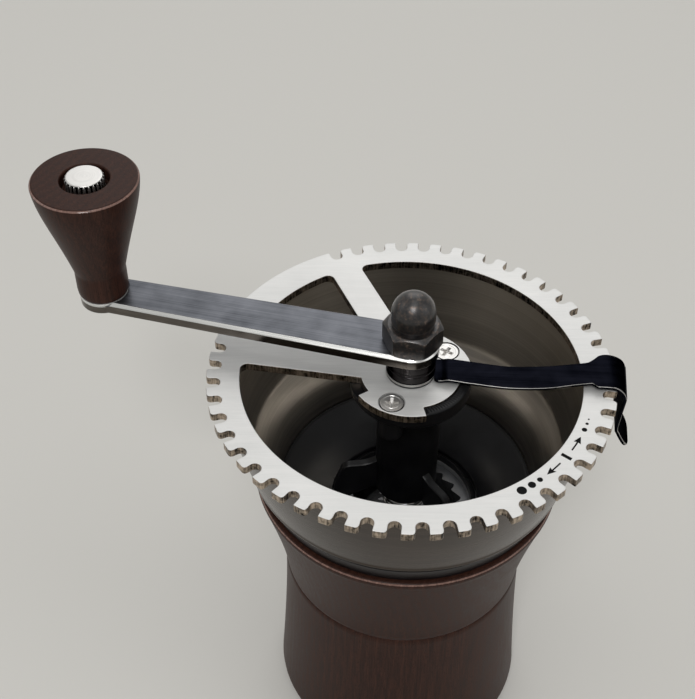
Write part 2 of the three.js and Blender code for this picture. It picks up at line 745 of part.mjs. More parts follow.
function hubScrew(angle) {
  const at = polar(HUB_SCREW_CIRCLE, angle);
  const top = WHEEL_TOP - HUB_SCREW_SINK;
  const coneBase = top - HUB_SCREW_HEAD + HUB_SCREW_RADIUS;
  const tip = top - HUB_SCREW_LENGTH;
  const screw = solidOf(
    turned(
      [
        [0, tip],
        [HUB_SCREW_RADIUS - HUB_SCREW_POINT, tip],
        [HUB_SCREW_RADIUS, tip + HUB_SCREW_POINT],
        [HUB_SCREW_RADIUS, coneBase],
        [HUB_SCREW_HEAD, top],
        [0, top],
      ],
      SCREW_ROUND,
    ),
  );
  const slot = box(CROSS_REACH, CROSS_SLOT, top - CROSS_DEPTH, top + OVERCUT);
  const cross = slot.add(slot.rotate([0, 0, 90])).rotate([0, 0, angle + CROSS_TURN]);
  return screw.subtract(cross).translate([at.x, at.y, 0]);
}

// Black hub: head under the wheel with its raised arc, threaded tube, three ribs and a foot ring.
function hubColumn() {
  const bushBore = BUSH_RADIUS + FIT;
  const shaftRoom = SHAFT_RADIUS + 2 * FIT;
  const bearingBore = SHAFT_RADIUS + SHAFT_FIT + BEARING_WALL + SHAFT_FIT;
  const bushFloor = WHEEL_TOP - BUSH_LENGTH - BUSH_TRAVEL;
  let hub = solidOf(
    turned(
      [
        [bearingBore, COLUMN_FOOT],
        [COLUMN_RADIUS, COLUMN_FOOT],
        [COLUMN_RADIUS, HEAD_BASE - HEAD_GUSSET_HEIGHT],
        [COLUMN_RADIUS + HEAD_GUSSET, HEAD_BASE],
        [HEAD_RADIUS - HEAD_EDGE, HEAD_BASE],
        [HEAD_RADIUS, HEAD_BASE + HEAD_EDGE],
        [HEAD_RADIUS, WHEEL_BASE],
        [bushBore, WHEEL_BASE],
        [bushBore, bushFloor],
        [shaftRoom, bushFloor - BUSH_FLOOR_TAPER],
        [shaftRoom, COLUMN_FOOT + BEARING_LENGTH],
        [bearingBore, COLUMN_FOOT + BEARING_LENGTH],
      ],
      MIDDLE_ROUND,
    ),
  );
  const ribTop = WHEEL_TOP - RIB_TOP_DROP;
  const ribRoot = COLUMN_RADIUS - RIB_ROOT;
  const ribFoot = THROAT_RADIUS - RIB_FOOT_GAP;
  const ribInside = ribFoot - RIB_FOOT_WIDTH;
  const ribEnd = LIP_TOP + RIB_FOOT_RISE;
  const ribOutline = [
    [ribRoot, ribTop + RIB_SHOULDER_DROP],
    [COLUMN_RADIUS + RIB_SHOULDER, ribTop],
    [RIB_TOP_RADIUS, ribTop],
    [ribFoot, COLUMN_FOOT + RIB_HEEL],
    [ribFoot, ribEnd],
    [ribInside, ribEnd],
    [ribInside - RIB_ARCH_SET_IN, COLUMN_FOOT - RIB_ARCH_DROP],
    [ribRoot, COLUMN_FOOT + RIB_ARCH_SET_IN],
  ].map(([r, z]) => new THREE.Vector2(r, z));
  for (let i = 0; i < RIBS; i++) {
    const rib = raised(ribOutline, -RIB_THICKNESS / 2, RIB_THICKNESS / 2).rotateX(Math.PI / 2);
    hub = hub.add(solidOf(rib.rotateZ(rad(RIB_ANGLE + (i * 360) / RIBS))));
  }
  const foot = turned(
    [
      [BURR_RADIUS - LIP_REACH, LIP_TOP],
      [THROAT_RADIUS - FIT, LIP_TOP],
      [THROAT_RADIUS - FIT, LIP_TOP + FOOT_RING_EDGE],
      [BURR_RADIUS - LIP_REACH, LIP_TOP + FOOT_RING_HEIGHT],
    ],
    MIDDLE_ROUND,
  );
  hub = hub.add(solidOf(foot));
  const inset = THREE.MathUtils.radToDeg(FIT / HUB_RADIUS);
  hub = hub.add(
    annularSector(
      HUB_CUT_RADIUS + FIT,
      HEAD_RADIUS,
      MARK_ANGLE - ARC_HALF_ANGLE + inset,
      MARK_ANGLE + ARC_HALF_ANGLE - inset,
      HEAD_BASE + OVERCUT,
      WHEEL_TOP - HUB_SCREW_SINK,
    ),
  );
  const screwFloor = WHEEL_TOP - HUB_SCREW_LENGTH - OVERCUT;
  const bossRadius = HUB_SCREW_RADIUS + SCREW_BOSS_WALL;
  for (const angle of hubScrewAngles()) {
    const at = polar(HUB_SCREW_CIRCLE, angle);
    const boss = cylinder(bossRadius, screwFloor - OVERCUT, HEAD_BASE + OVERCUT, HOLE_ROUND);
    const pilot = cylinder(HUB_SCREW_RADIUS + SHAFT_FIT, screwFloor, WHEEL_BASE + OVERCUT, HOLE_ROUND);
    hub = hub.add(boss.translate([at.x, at.y, 0])).subtract(pilot.translate([at.x, at.y, 0]));
  }
  return hub.subtract(cylinder(bushBore, bushFloor, WHEEL_BASE + OVERCUT, MIDDLE_ROUND));
}

// Bronze sleeve with a flange that the spring pushes against.
function lowerBearing() {
  const bore = SHAFT_RADIUS + SHAFT_FIT;
  const flangeRadius = COLUMN_RADIUS - BEARING_FLANGE_INSET;
  return turned(
    [
      [bore, BEARING_BASE],
      [flangeRadius, BEARING_BASE],
      [flangeRadius, COLUMN_FOOT],
      [bore + BEARING_WALL, COLUMN_FOOT],
      [bore + BEARING_WALL, COLUMN_FOOT + BEARING_LENGTH - FIT],
      [bore, COLUMN_FOOT + BEARING_LENGTH - FIT],
    ],
    SMALL_ROUND,
  );
}

// One level of a burr: crests at the tip radius, flanks cut back by the tooth depth.
function burrRing(z, tip, depth, turn, inward) {
  const points = [];
  for (let tooth = 0; tooth < BURR_TEETH; tooth++)
    for (let step = 0; step < FLANK_STEPS; step++) {
      const angle = turn + ((tooth + (FLANK_SHARE * step) / FLANK_STEPS) * 360) / BURR_TEETH;
      const cut = depth * (step / (FLANK_STEPS - 1));
      const at = polar(inward ? tip + cut : tip - cut, angle);
      points.push(new THREE.Vector3(at.x, at.y, z));
    }
  return points;
}

function coneTip(z) {
  const share = (z - CONE_BASE) / CONE_HEIGHT;
  const base = BURR_RADIUS - RING_WALL - BURR_GAP;
  return base - (base - CONE_TOP_RADIUS) * (CONE_STRAIGHT * share + (1 - CONE_STRAIGHT) * share ** 2);
}

function outerBurr() {
  const levels = 3;
  const rings = Array.from({ length: levels + 1 }, (_, i) => {
    const share = i / levels;
    const z = BURR_BASE - RING_OVERCUT + (BURR_HEIGHT + 2 * RING_OVERCUT) * share;
    const tip = BURR_RADIUS - RING_WALL - (RING_ENTRY_WALL - RING_WALL) * share;
    return burrRing(z, tip, FINE_TOOTH + RING_TOOTH_GROWTH * share, BURR_TWIST * share, true);
  });
  const blank = turned(
    [
      [0, BURR_BASE],
      [BURR_RADIUS, BURR_BASE],
      [BURR_RADIUS, BURR_TOP],
      [0, BURR_TOP],
    ],
    ROUND,
  );
  return solidOf(blank).subtract(solidOf(lofted(rings)));
}

// Cone with fine teeth at its foot that grow into deep bean-catching flutes near the top.
function innerBurr() {
  const levels = 4;
  const rings = Array.from({ length: levels + 1 }, (_, i) => {
    const share = i / levels;
    const z = CONE_BASE + CONE_HEIGHT * share;
    return burrRing(z, coneTip(z), FINE_TOOTH + CONE_TOOTH_GROWTH * share, -2 * BURR_TWIST * share, false);
  });
  return solidOf(lofted(rings)).subtract(shaftBore(CONE_BASE, CONE_TOP));
}

// A round bar with two flats.
function shaftSection(radius, flat, base, top) {
  return cylinder(radius, base, top).intersect(box(4 * radius, 2 * flat, base, top));
}

// The hole, with its two flats, that fits the shaft right through a piece.
function shaftBore(base, top) {
  return shaftSection(SHAFT_RADIUS + SHAFT_FIT, SHAFT_FLAT + SHAFT_FIT, base - OVERCUT, top + OVERCUT);
}

function driveShaft() {
  const coneShoulder = CONE_TOP + 2 * FIT;
  const armShoulder = BOSS_BASE - SHAFT_FIT;
  const tip = DOME_CENTRE + SHAFT_TIP_RISE;
  const end = CONE_BASE - SHAFT_END_DROP;
  const middle = cylinder(SHAFT_RADIUS, coneShoulder, armShoulder);
  const upper = shaftSection(SHAFT_RADIUS, SHAFT_FLAT, armShoulder - OVERCUT, tip);
  const lower = shaftSection(SHAFT_RADIUS, SHAFT_FLAT, end, coneShoulder + OVERCUT);
  return middle.add(upper).add(lower);
}

function hexagon(halfFlats, turn) {
  const corner = halfFlats / Math.cos(rad(30));
  return Array.from({ length: 6 }, (_, i) => polar(corner, turn + i * 60));
}

function burrNut() {
  const top = CONE_BASE - SNUG_FIT;
  const base = top - BURR_NUT_HEIGHT;
  const nut = solidOf(raised(hexagon(SHAFT_RADIUS + NUT_WALL, 0), base, top));
  return nut.subtract(cylinder(SHAFT_RADIUS + SHAFT_FIT, base - OVERCUT, top + OVERCUT));
}

// Coil between the bearing's flange and the cone, one unbroken wire.
function burrSpring() {
  const radius = SHAFT_RADIUS + SHAFT_FIT + SPRING_WIRE + SPRING_CLEARANCE;
  const base = CONE_TOP + SPRING_WIRE + FIT;
  const top = BEARING_BASE - SPRING_WIRE - FIT;
  const steps = SPRING_TURNS * SPRING_STEPS;
  const rings = [];
  const centres = [];
  for (let i = 0; i <= steps; i++) {
    const angle = (i / SPRING_STEPS) * 360;
    const z = base + ((top - base) * i) / steps;
    const out = polar(1, angle);
    const centre = new THREE.Vector3(out.x * radius, out.y * radius, z);
    centres.push(centre);
    rings.push(
      Array.from({ length: SPRING_SIDES }, (_, k) => {
        const around = rad((k * 360) / SPRING_SIDES);
        const reach = radius + SPRING_WIRE * Math.cos(around);
        return new THREE.Vector3(out.x * reach, out.y * reach, z + SPRING_WIRE * Math.sin(around));
      }),
    );
  }
  let least = Infinity;
  for (let i = 0; i < centres.length; i++)
    for (let k = i + SPRING_STEPS - 2; k < centres.length; k++)
      least = Math.min(least, centres[i].distanceTo(centres[k]) - 2 * SPRING_WIRE);
  console.log("spring: least gap between turns " + least.toFixed(2) + " mm");
  const geometry = lofted(rings);
  const merged = solidOf(geometry);
  return merged.volume() < 0 ? geometryReversed(geometry) : geometry;
}

function geometryReversed(geometry) {
  const index = geometry.index.array;
  for (let i = 0; i < index.length; i += 3) [index[i + 1], index[i + 2]] = [index[i + 2], index[i + 1]];
  return geometry;
}

function adjustingBush() {
  const bore = SHAFT_RADIUS + SHAFT_FIT;
  const base = WHEEL_TOP - BUSH_LENGTH;
  return turned(
    [
      [bore, base],
      [BUSH_RADIUS - BUSH_CHAMFER, base],
      [BUSH_RADIUS, base + BUSH_CHAMFER],
      [BUSH_RADIUS, EYE_BASE],
      [NECK_RADIUS, EYE_BASE],
      [NECK_RADIUS, THRUST_BASE - NECK_SHORT],
      [bore, THRUST_BASE - NECK_SHORT],
    ],
    SMALL_ROUND,
  );
}

function leverClamp() {
  return turned(
    [
      [NECK_RADIUS + SNUG_FIT, CLAMP_BASE],
      [BOSS_RADIUS, CLAMP_BASE],
      [BOSS_RADIUS, THRUST_BASE - CLAMP_EDGE],
      [BOSS_RADIUS - CLAMP_EDGE, THRUST_BASE],
      [NECK_RADIUS + SNUG_FIT, THRUST_BASE],
    ],
    SMALL_ROUND,
  );
}

function thrustWasher() {
  return turned(
    [
      [SHAFT_RADIUS + SHAFT_FIT, THRUST_BASE],
      [BOSS_RADIUS - THRUST_INSET, THRUST_BASE],
      [BOSS_RADIUS - THRUST_INSET, BOSS_BASE],
      [SHAFT_RADIUS + SHAFT_FIT, BOSS_BASE],
    ],
    SMALL_ROUND,
  );
}

// Blued spring-steel strip: an eye under the clamp, an S-bend up, a sideways bow and a wider head
// that folds down past the tooth tips and flares out as a thumb tab.
function selectorLever() {
  const half = LEVER_THICKNESS / 2;
  const eyeLevel = EYE_BASE + half;
  const stripLevel = eyeLevel + STRIP_RISE;
  const headFrom = WHEEL_RADIUS - HEAD_LENGTH;
  const wall = WHEEL_RADIUS + TAB_CLEARANCE + half;
  const bendFrom = wall - BEND_RADIUS;
  const stations = [];
  const place = (x, z, lean, near, far) => stations.push({ x, z, lean, near, far });
  place(NECK_RADIUS + 0.9, eyeLevel, 0, -4.4, 4.4);
  place(EYE_RADIUS + 0.6, eyeLevel, 0, -5.2, 4.2);
  place(EYE_RADIUS + 2, eyeLevel + 0.3 * STRIP_RISE, 30, -5.4, 4);
  place(EYE_RADIUS + 3.4, stripLevel - 0.1, 18, -5.7, 3.7);
  place(EYE_RADIUS + 4.8, stripLevel, 0, -5.9, 3.5);
  const bow = [
    [0.36, -7, 2.5],
    [0.55, -8.2, 1.1],
    [0.75, -7.8, 1.6],
    [0.9, -6.2, 2.8],
    [1, -5.2, 3.8],
  ];
  for (const [share, near, far] of bow) place(headFrom * share, stripLevel, 0, near, far);
  place(headFrom + 1.2, stripLevel, 0, -5.2, 4.4);
  place(headFrom + 2.6, stripLevel, 0, -TAB_HALF_WIDTH + 0.7, 5.6);
  place(headFrom + 4.2, stripLevel, 0, -TAB_HALF_WIDTH + 0.6, TAB_HALF_WIDTH);
  for (let lean = 0; lean <= 90; lean += BEND_STEP) {
    const x = bendFrom + BEND_RADIUS * Math.sin(rad(lean));
    const z = stripLevel - BEND_RADIUS * (1 - Math.cos(rad(lean)));
    place(x, z, -lean, -TAB_HALF_WIDTH + 0.5, TAB_HALF_WIDTH + 0.5);
  }
  const tabFoot = stripLevel - TAB_DROP;
  const lip = stripLevel - TAB_HEIGHT;
  const flared = wall + TAB_FLARE;
  place(wall - TAB_LEAN, tabFoot, -93, -TAB_HALF_WIDTH + 0.6, TAB_HALF_WIDTH + 0.3);
  place(wall, tabFoot - 3, -66, -TAB_HALF_WIDTH + 0.7, TAB_HALF_WIDTH);
  place(flared - 1.8, lip + 3, -60, -TAB_HALF_WIDTH + 1, TAB_HALF_WIDTH - 0.5);
  place(flared - 0.5, lip + 0.8, -60, -TAB_HALF_WIDTH + 2, TAB_HALF_WIDTH - 1.5);
  place(flared, lip, -60, -TAB_HALF_WIDTH + 4, TAB_HALF_WIDTH - 3.5);
  const rings = stations.map(({ x, z, lean, near, far }) => {
    const up = new THREE.Vector3(-Math.sin(rad(lean)), 0, Math.cos(rad(lean))).multiplyScalar(half);
    const at = (y, side) => new THREE.Vector3(x, y, z).addScaledVector(up, side);
    return [at(near, -1), at(far, -1), at(far, 1), at(near, 1)];
  });
  const eye = cylinder(EYE_RADIUS, EYE_BASE, CLAMP_BASE, MIDDLE_ROUND);
  const strip = solidOf(lofted(rings));
  const above = stripLevel + BEND_RADIUS;
  return eye.add(strip).subtract(cylinder(NECK_RADIUS + SNUG_FIT, EYE_BASE - OVERCUT, above));
}

// Hardened tongue inside the tab, seated in one notch at rest.
function detentTongue() {
  const face = WHEEL_RADIUS + TAB_CLEARANCE - TONGUE_GAP;
  const nose = WHEEL_RADIUS - TONGUE_REACH;
  const half = NOTCH_WIDTH / 2 - TONGUE_SIDE;
  const outline = [
    new THREE.Vector2(face, -half),
    new THREE.Vector2(face, half),
    ...arc(new THREE.Vector2(nose + half, 0), half, 90, 270, 6),
  ];
  const base = WHEEL_BASE + SHAFT_FIT;
  const top = WHEEL_TOP - SNUG_FIT;
  const back = nose - OVERCUT;
  const side = [
    new THREE.Vector2(back, base),
    new THREE.Vector2(face, base),
    new THREE.Vector2(face, base + TONGUE_FOOT),
    new THREE.Vector2(face - TONGUE_CHAMFER, top),
    new THREE.Vector2(back, top),
  ];
  const reach = half + OVERCUT;
  const profile = solidOf(raised(side, -reach, reach).rotateX(Math.PI / 2));
  return solidOf(raised(outline, base, top)).intersect(profile);
}

// Outline of the arm along +X: two tangent circles joined by straight flanks, set in by an inset.
function armOutline(inset) {
  const hub = BOSS_RADIUS + ARM_HUB_MARGIN - inset;
  const end = ARM_KNOB_HALF - inset;
  const swing = THREE.MathUtils.radToDeg(Math.acos((hub - end) / CRANK_REACH));
  const far = new THREE.Vector2(CRANK_REACH, 0);
  return [...arc(axis, hub, swing, 360 - swing, 14), ...arc(far, end, -swing, swing, 10)];
}

function crankArm() {
  const level = (inset, z) => armOutline(inset).map((p) => new THREE.Vector3(p.x, p.y, z));
  const arm = solidOf(
    lofted([
      level(ARM_EDGE, ARM_BASE),
      level(0, ARM_BASE + ARM_EDGE),
      level(0, ARM_TOP - ARM_BEVEL),
      level(ARM_BEVEL, ARM_TOP),
    ]),
  );
  const above = ARM_TOP + OVERCUT;
  const atKnob = (radius, base, top, segments = MIDDLE_ROUND) =>
    cylinder(radius, base, top, segments).translate([CRANK_REACH, 0, 0]);
  return arm
    .add(atKnob(ARM_END_RADIUS, ARM_BASE, ARM_TOP))
    .add(cylinder(BOSS_RADIUS, BOSS_BASE, ARM_BASE + OVERCUT))
    .subtract(atKnob(SPOT_FACE_RADIUS, SPOT_FACE, above))
    .subtract(atKnob(KNOB_SCREW_RADIUS + SHAFT_FIT, ARM_BASE - OVERCUT, above, SCREW_ROUND))
    .subtract(shaftBore(BOSS_BASE, ARM_TOP));
}

// Domed nut: chamfered hexagon, short neck and a hemisphere, blind from below.
function domeNut() {
  const base = ARM_TOP;
  const hexTop = base + NUT_HEIGHT;
  const corner = NUT_HALF_FLATS / Math.cos(rad(30)) + SNUG_FIT;
  const face = NUT_HALF_FLATS - NUT_CHAMFER_SET_IN;
  const blank = turned(
    [
      [0, base],
      [face, base],
      [corner, base + NUT_CHAMFER],
      [corner, hexTop - NUT_CHAMFER],
      [face, hexTop],
      [0, hexTop],
    ],
    SMALL_ROUND,
  );
  const prism = solidOf(raised(hexagon(NUT_HALF_FLATS, NUT_TURN), base, hexTop));
  const dome = Array.from({ length: DOME_STEPS }, (_, i) => {
    const rise = rad((i * 90) / DOME_STEPS);
    return [DOME_RADIUS * Math.cos(rise), DOME_CENTRE + DOME_RADIUS * Math.sin(rise)];
  });
  const root = hexTop - OVERCUT;
  const cap = [[0, root], [DOME_RADIUS, root], ...dome, [0, DOME_CENTRE + DOME_RADIUS]];
  const bore = cylinder(SHAFT_RADIUS + SHAFT_FIT, base - OVERCUT, DOME_CENTRE + SHAFT_TIP_RISE + FIT);
  return prism
    .intersect(solidOf(blank))
    .add(solidOf(turned(cap, SMALL_ROUND)))
    .subtract(bore);
}

// Turned knob: straight shank, long trumpet flare and a flat crown with a recess for the screw.
function knob() {
  const crown = KNOB_TOP - KNOB_EDGE;
  const flareFrom = KNOB_BASE + KNOB_SHANK;
  const flare = along(
    (z) => {
      const share = (z - flareFrom) / (crown - flareFrom);
      const swell = share + KNOB_SHOULDER * share ** 3 * (1 - share);
      return KNOB_WAIST_RADIUS + (KNOB_TOP_RADIUS - KNOB_WAIST_RADIUS) * swell;
    },
    flareFrom,
    crown,
    6,
  );
  const floor = KNOB_TOP - KNOB_RECESS_DEPTH;
  const bore = KNOB_SCREW_RADIUS + SHAFT_FIT;
  return turned(
    [
      [bore, KNOB_BASE],
      [KNOB_WAIST_RADIUS - KNOB_FOOT_SET_IN, KNOB_BASE],
      [KNOB_WAIST_RADIUS - KNOB_FOOT_ROUND, KNOB_BASE + KNOB_FOOT_RISE],
      ...flare,
      [KNOB_TOP_RADIUS - KNOB_EDGE, KNOB_TOP],
      [KNOB_RECESS_RADIUS + KNOB_RECESS_EDGE, KNOB_TOP],
      [KNOB_RECESS_RADIUS, KNOB_TOP - KNOB_RECESS_EDGE],
      [KNOB_RECESS_RADIUS, floor],
      [bore, floor],
    ],
    MIDDLE_ROUND,
  );
}

function knobScrew() {
  const seat = KNOB_TOP - KNOB_RECESS_DEPTH + FIT;
  const top = KNOB_TOP + KNOB_SCREW_RISE;
  return turned(
    [
      [0, ARM_BASE],
      [KNOB_SCREW_RADIUS, ARM_BASE],
      [KNOB_SCREW_RADIUS, seat],
      [KNOB_SCREW_HEAD, seat],
      [KNOB_SCREW_HEAD, top - KNOB_SCREW_EDGE],
      [KNOB_SCREW_HEAD - KNOB_SCREW_EDGE, top],
      [0, top],
    ],
    SMALL_ROUND,
  );
}

function knobWasher() {
  const bore = KNOB_SCREW_RADIUS + SHAFT_FIT;
  const rim = KNOB_WAIST_RADIUS - KNOB_WASHER_INSET;
  return turned(
    [
      [bore, SPOT_FACE],
      [rim, SPOT_FACE],
      [rim, KNOB_BASE],
      [bore, KNOB_BASE],
    ],
    SMALL_ROUND,
  );
}

// Catch jar
const jar = new THREE.Group();
grinder.add(jar);
add(jar, "foot_pad", footPad(), rubber);
add(jar, "catch_jar", catchJar(), darkWood);

// Fixed part of the mill
const mill = new THREE.Group();
grinder.add(mill);
add(mill, "mill_body", millBody(), darkWood);
add(mill, "burr_housing", burrHousing(), castAluminium);
add(mill, "seal_ring", sealRing(), rubber);
add(mill, "bowl_collar", bowlCollar(), blackPlastic);
add(mill, "hopper_bowl", hopperBowl(), spunSteel);
add(mill, "funnel_floor", funnelFloor(), blackPlastic);
add(mill, "index_wheel", indexWheel(), brushedSteel);
add(mill, "hub_column", hubColumn(), blackPlastic);
add(mill, "lower_bearing", lowerBearing(), bronze);
add(mill, "outer_burr", outerBurr(), burrSteel);
add(mill, "burr_retainer", burrRetainer(), castAluminium);
add(mill, "burr_spring", burrSpring(), polishedSteel);
hubScrewAngles().forEach((angle, i) => add(mill, "hub_screw_" + (i + 1), hubScrew(angle), brushedSteel));
retainerScrewAngles().forEach((angle, i) =>
  add(mill, "retainer_screw_" + (i + 1), retainerScrew(angle), polishedSteel),
);

// Selector, which screws the bush up and down as it turns
const selector = new THREE.Group();
selector.rotation.z = rad(LEVER_ANGLE);
grinder.add(selector);
add(selector, "adjusting_bush", adjustingBush(), polishedSteel);
add(selector, "lever_clamp", leverClamp(), polishedSteel);
add(selector, "selector_lever", selectorLever(), springSteel);
add(selector, "detent_tongue", detentTongue(), springSteel);
add(grinder, "thrust_washer", thrustWasher(), polishedSteel);

// Shaft, crank and cone, which turn together
const rotor = new THREE.Group();
rotor.rotation.z = rad(CRANK_ANGLE);
grinder.add(rotor);
add(rotor, "drive_shaft", driveShaft(), polishedSteel);
add(rotor, "crank_arm", crankArm(), polishedSteel);
add(rotor, "dome_nut", domeNut(), blackOxide);
add(rotor, "inner_burr", innerBurr(), burrSteel);
add(rotor, "burr_nut", burrNut(), polishedSteel);

// Knob, free on the screw that holds it to the arm
const handle = new THREE.Group();
handle.position.x = CRANK_REACH;
rotor.add(handle);
add(handle, "knob", knob(), darkWood);
add(handle, "knob_screw", knobScrew(), brushedSteel);
add(handle, "knob_washer", knobWasher(), brushedSteel);

export default grinder;
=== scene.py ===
import math

import bmesh
import bpy
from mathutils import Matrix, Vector, noise


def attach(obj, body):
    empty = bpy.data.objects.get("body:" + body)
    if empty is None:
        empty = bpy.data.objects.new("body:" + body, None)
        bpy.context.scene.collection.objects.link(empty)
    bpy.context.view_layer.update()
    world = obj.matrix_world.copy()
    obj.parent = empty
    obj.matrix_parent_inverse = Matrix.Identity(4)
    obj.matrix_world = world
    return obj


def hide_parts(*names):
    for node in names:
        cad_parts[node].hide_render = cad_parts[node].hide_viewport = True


# Hand coffee mill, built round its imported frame. Sizes are in millimetres, +Z is up, and the
# shaft's axis is at the origin.
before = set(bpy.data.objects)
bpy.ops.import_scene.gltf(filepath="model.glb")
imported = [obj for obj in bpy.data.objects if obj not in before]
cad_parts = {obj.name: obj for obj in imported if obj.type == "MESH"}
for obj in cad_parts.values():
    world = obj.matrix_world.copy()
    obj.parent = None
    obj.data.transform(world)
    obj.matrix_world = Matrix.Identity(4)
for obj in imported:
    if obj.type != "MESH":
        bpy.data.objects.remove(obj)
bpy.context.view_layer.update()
scene = bpy.context.scene
mm = 0.001
print("frame loaded:", len(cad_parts), "nodes")

# Levels, radii and turns that several pieces share
level = {
    "jarBase": 1.5, "parting": 66, "burrBase": 70, "throatBase": 88, "flange": 92, "flangeTop": 93.5,
    "bowlBase": 99, "bodyTop": 109, "collarEdge": 116.2, "collarTop": 118.5,
    "wheelBase": 147.2, "wheelTop": 150, "eyeBase": 150.6, "clampBase": 151.6, "thrustBase": 154.2,
    "bossBase": 155.2, "armBase": 158.2, "armTop": 162.4, "spotFace": 161.2,
    "knobBase": 161.9, "knobTop": 203.9,
}
radius = {
    "waist": 40.5, "jarBore": 34.3, "housing": 33.8, "chute": 30.6, "flange": 42.63, "throat": 24.5,
    "rim": 57.5, "collarRim": 50.729, "column": 10,
    "shaft": 5, "bore": 5.2, "neck": 6.1, "bush": 7, "eye": 7.6, "boss": 7.4, "pinHole": 3.2,
}
turnOf = {"selector": -2.7, "rotor": 165.6, "mark": 321.3}
reach = 98  # shaft to knob


# Mesh helpers
def rotated(x, y, degrees):
    turn = math.radians(degrees)
    return x * math.cos(turn) - y * math.sin(turn), x * math.sin(turn) + y * math.cos(turn)


def polar(distance, degrees):
    return rotated(distance, 0, degrees)


def arcPoints(centre, distance, start, end, steps):
    points = [polar(distance, start + (end - start) * k / steps) for k in range(steps + 1)]
    return [(centre[0] + x, centre[1] + y) for x, y in points]


def alongCurve(radiusAt, start, end, steps):
    levels = [start + (end - start) * k / steps for k in range(steps + 1)]
    return [(radiusAt(z), z) for z in levels]


def bent(start, corner, end, steps):  # leaves start towards the corner and meets end from it
    start, corner, end = Vector(start), Vector(corner), Vector(end)
    shares = [k / steps for k in range(steps + 1)]
    return [tuple(corner + (1 - t) ** 2 * (start - corner) + t**2 * (end - corner)) for t in shares]


# Corners are (x, y) or (x, y, round); a rounded corner becomes a short curve with a point beside
# each end, so that the flat next to it stays flat when it is shaded
def softened(corners, steps=4):
    points = []
    for i, corner in enumerate(corners):
        here = Vector(corner[:2])
        if len(corner) == 2:
            points.append(tuple(here))
            continue
        back = Vector(corners[i - 1][:2]) - here
        on = Vector(corners[(i + 1) % len(corners)][:2]) - here
        cut = min(corner[2], 0.4 * back.length, 0.4 * on.length)
        back.normalize()
        on.normalize()
        points.append(tuple(here + 1.15 * cut * back))
        points += bent(here + cut * back, here, here + cut * on, steps)
        points.append(tuple(here + 1.15 * cut * on))
    return points


# Closes the edges that are too short to see, with the slivers beside them, and shades the rest
def shade(piece, sharp=32):
    mesh = piece.data
    draft = bmesh.new()
    draft.from_mesh(mesh)
    bmesh.ops.dissolve_degenerate(draft, dist=1e-6, edges=draft.edges)
    draft.to_mesh(mesh)
    draft.free()
    mesh.shade_smooth()
    mesh.set_sharp_from_angle(angle=math.radians(sharp))


def asPiece(name, points, faces, finish, at=(0, 0), turn=0, sharp=32):
    mesh = bpy.data.meshes.new(name)
    mesh.from_pydata([(x * mm, y * mm, z * mm) for x, y, z in points], [], faces)
    mesh.update()
    mesh.materials.append(finish)
    piece = bpy.data.objects.new(name, mesh)
    piece.location = (at[0] * mm, at[1] * mm, 0)
    piece.rotation_euler.z = math.radians(turn)
    scene.collection.objects.link(piece)
    shade(piece, sharp)
    return piece


# A profile of (distance, height) corners, turned on the lathe; shaped() may move each point
def turned(name, corners, segments=128, shaped=None, **place):
    profile = softened(corners)
    pairs = zip(profile, profile[1:] + profile[:1])
    if sum(a[0] * b[1] - b[0] * a[1] for a, b in pairs) < 0:
        profile.reverse()
    points, rings = [], []
    for r, z in profile:
        count = segments if r > 1e-6 else 1
        rings.append(range(len(points), len(points) + count))
        for k in range(count):
            angle = 2 * math.pi * k / segments
            r1, z1 = shaped(r, z, angle) if shaped and count > 1 else (r, z)
            points.append((r1 * math.cos(angle), r1 * math.sin(angle), z1))
    faces = []
    for low, high in zip(rings, rings[1:] + rings[:1]):
        for k in range(segments):
            n = (k + 1) % segments
            if len(low) > 1 and len(high) > 1:
                faces.append((low[k], low[n], high[n], high[k]))
            elif len(high) > 1:
                faces.append((low[0], high[n], high[k]))
            elif len(low) > 1:
                faces.append((low[k], low[n], high[0]))
    return asPiece(name, points, faces, **place)


def rod(name, size, low, high, segments=96, shaped=None, **place):
    corners = [(0, low), (size, low), (size, high), (0, high)]
    return turned(name, corners, segments, shaped, **place)


# Rings of the same number of points, joined in order; the last one is joined to the first where
# they go round a section, or else a face closes each end
def lofted(name, rings, roundSection=False, **place):
    count, total = len(rings[0]), len(rings) * len(rings[0])
    faces = [] if roundSection else [tuple(reversed(range(count)))]
    for start in range(0, total if roundSection else total - count, count):
        following = (start + count) % total
        for k in range(count):
            n = (k + 1) % count
            faces.append((start + k, start + n, following + n, following + k))
    if not roundSection:
        faces.append(tuple(range(total - count, total)))
    return asPiece(name, [p for ring in rings for p in ring], faces, **place)


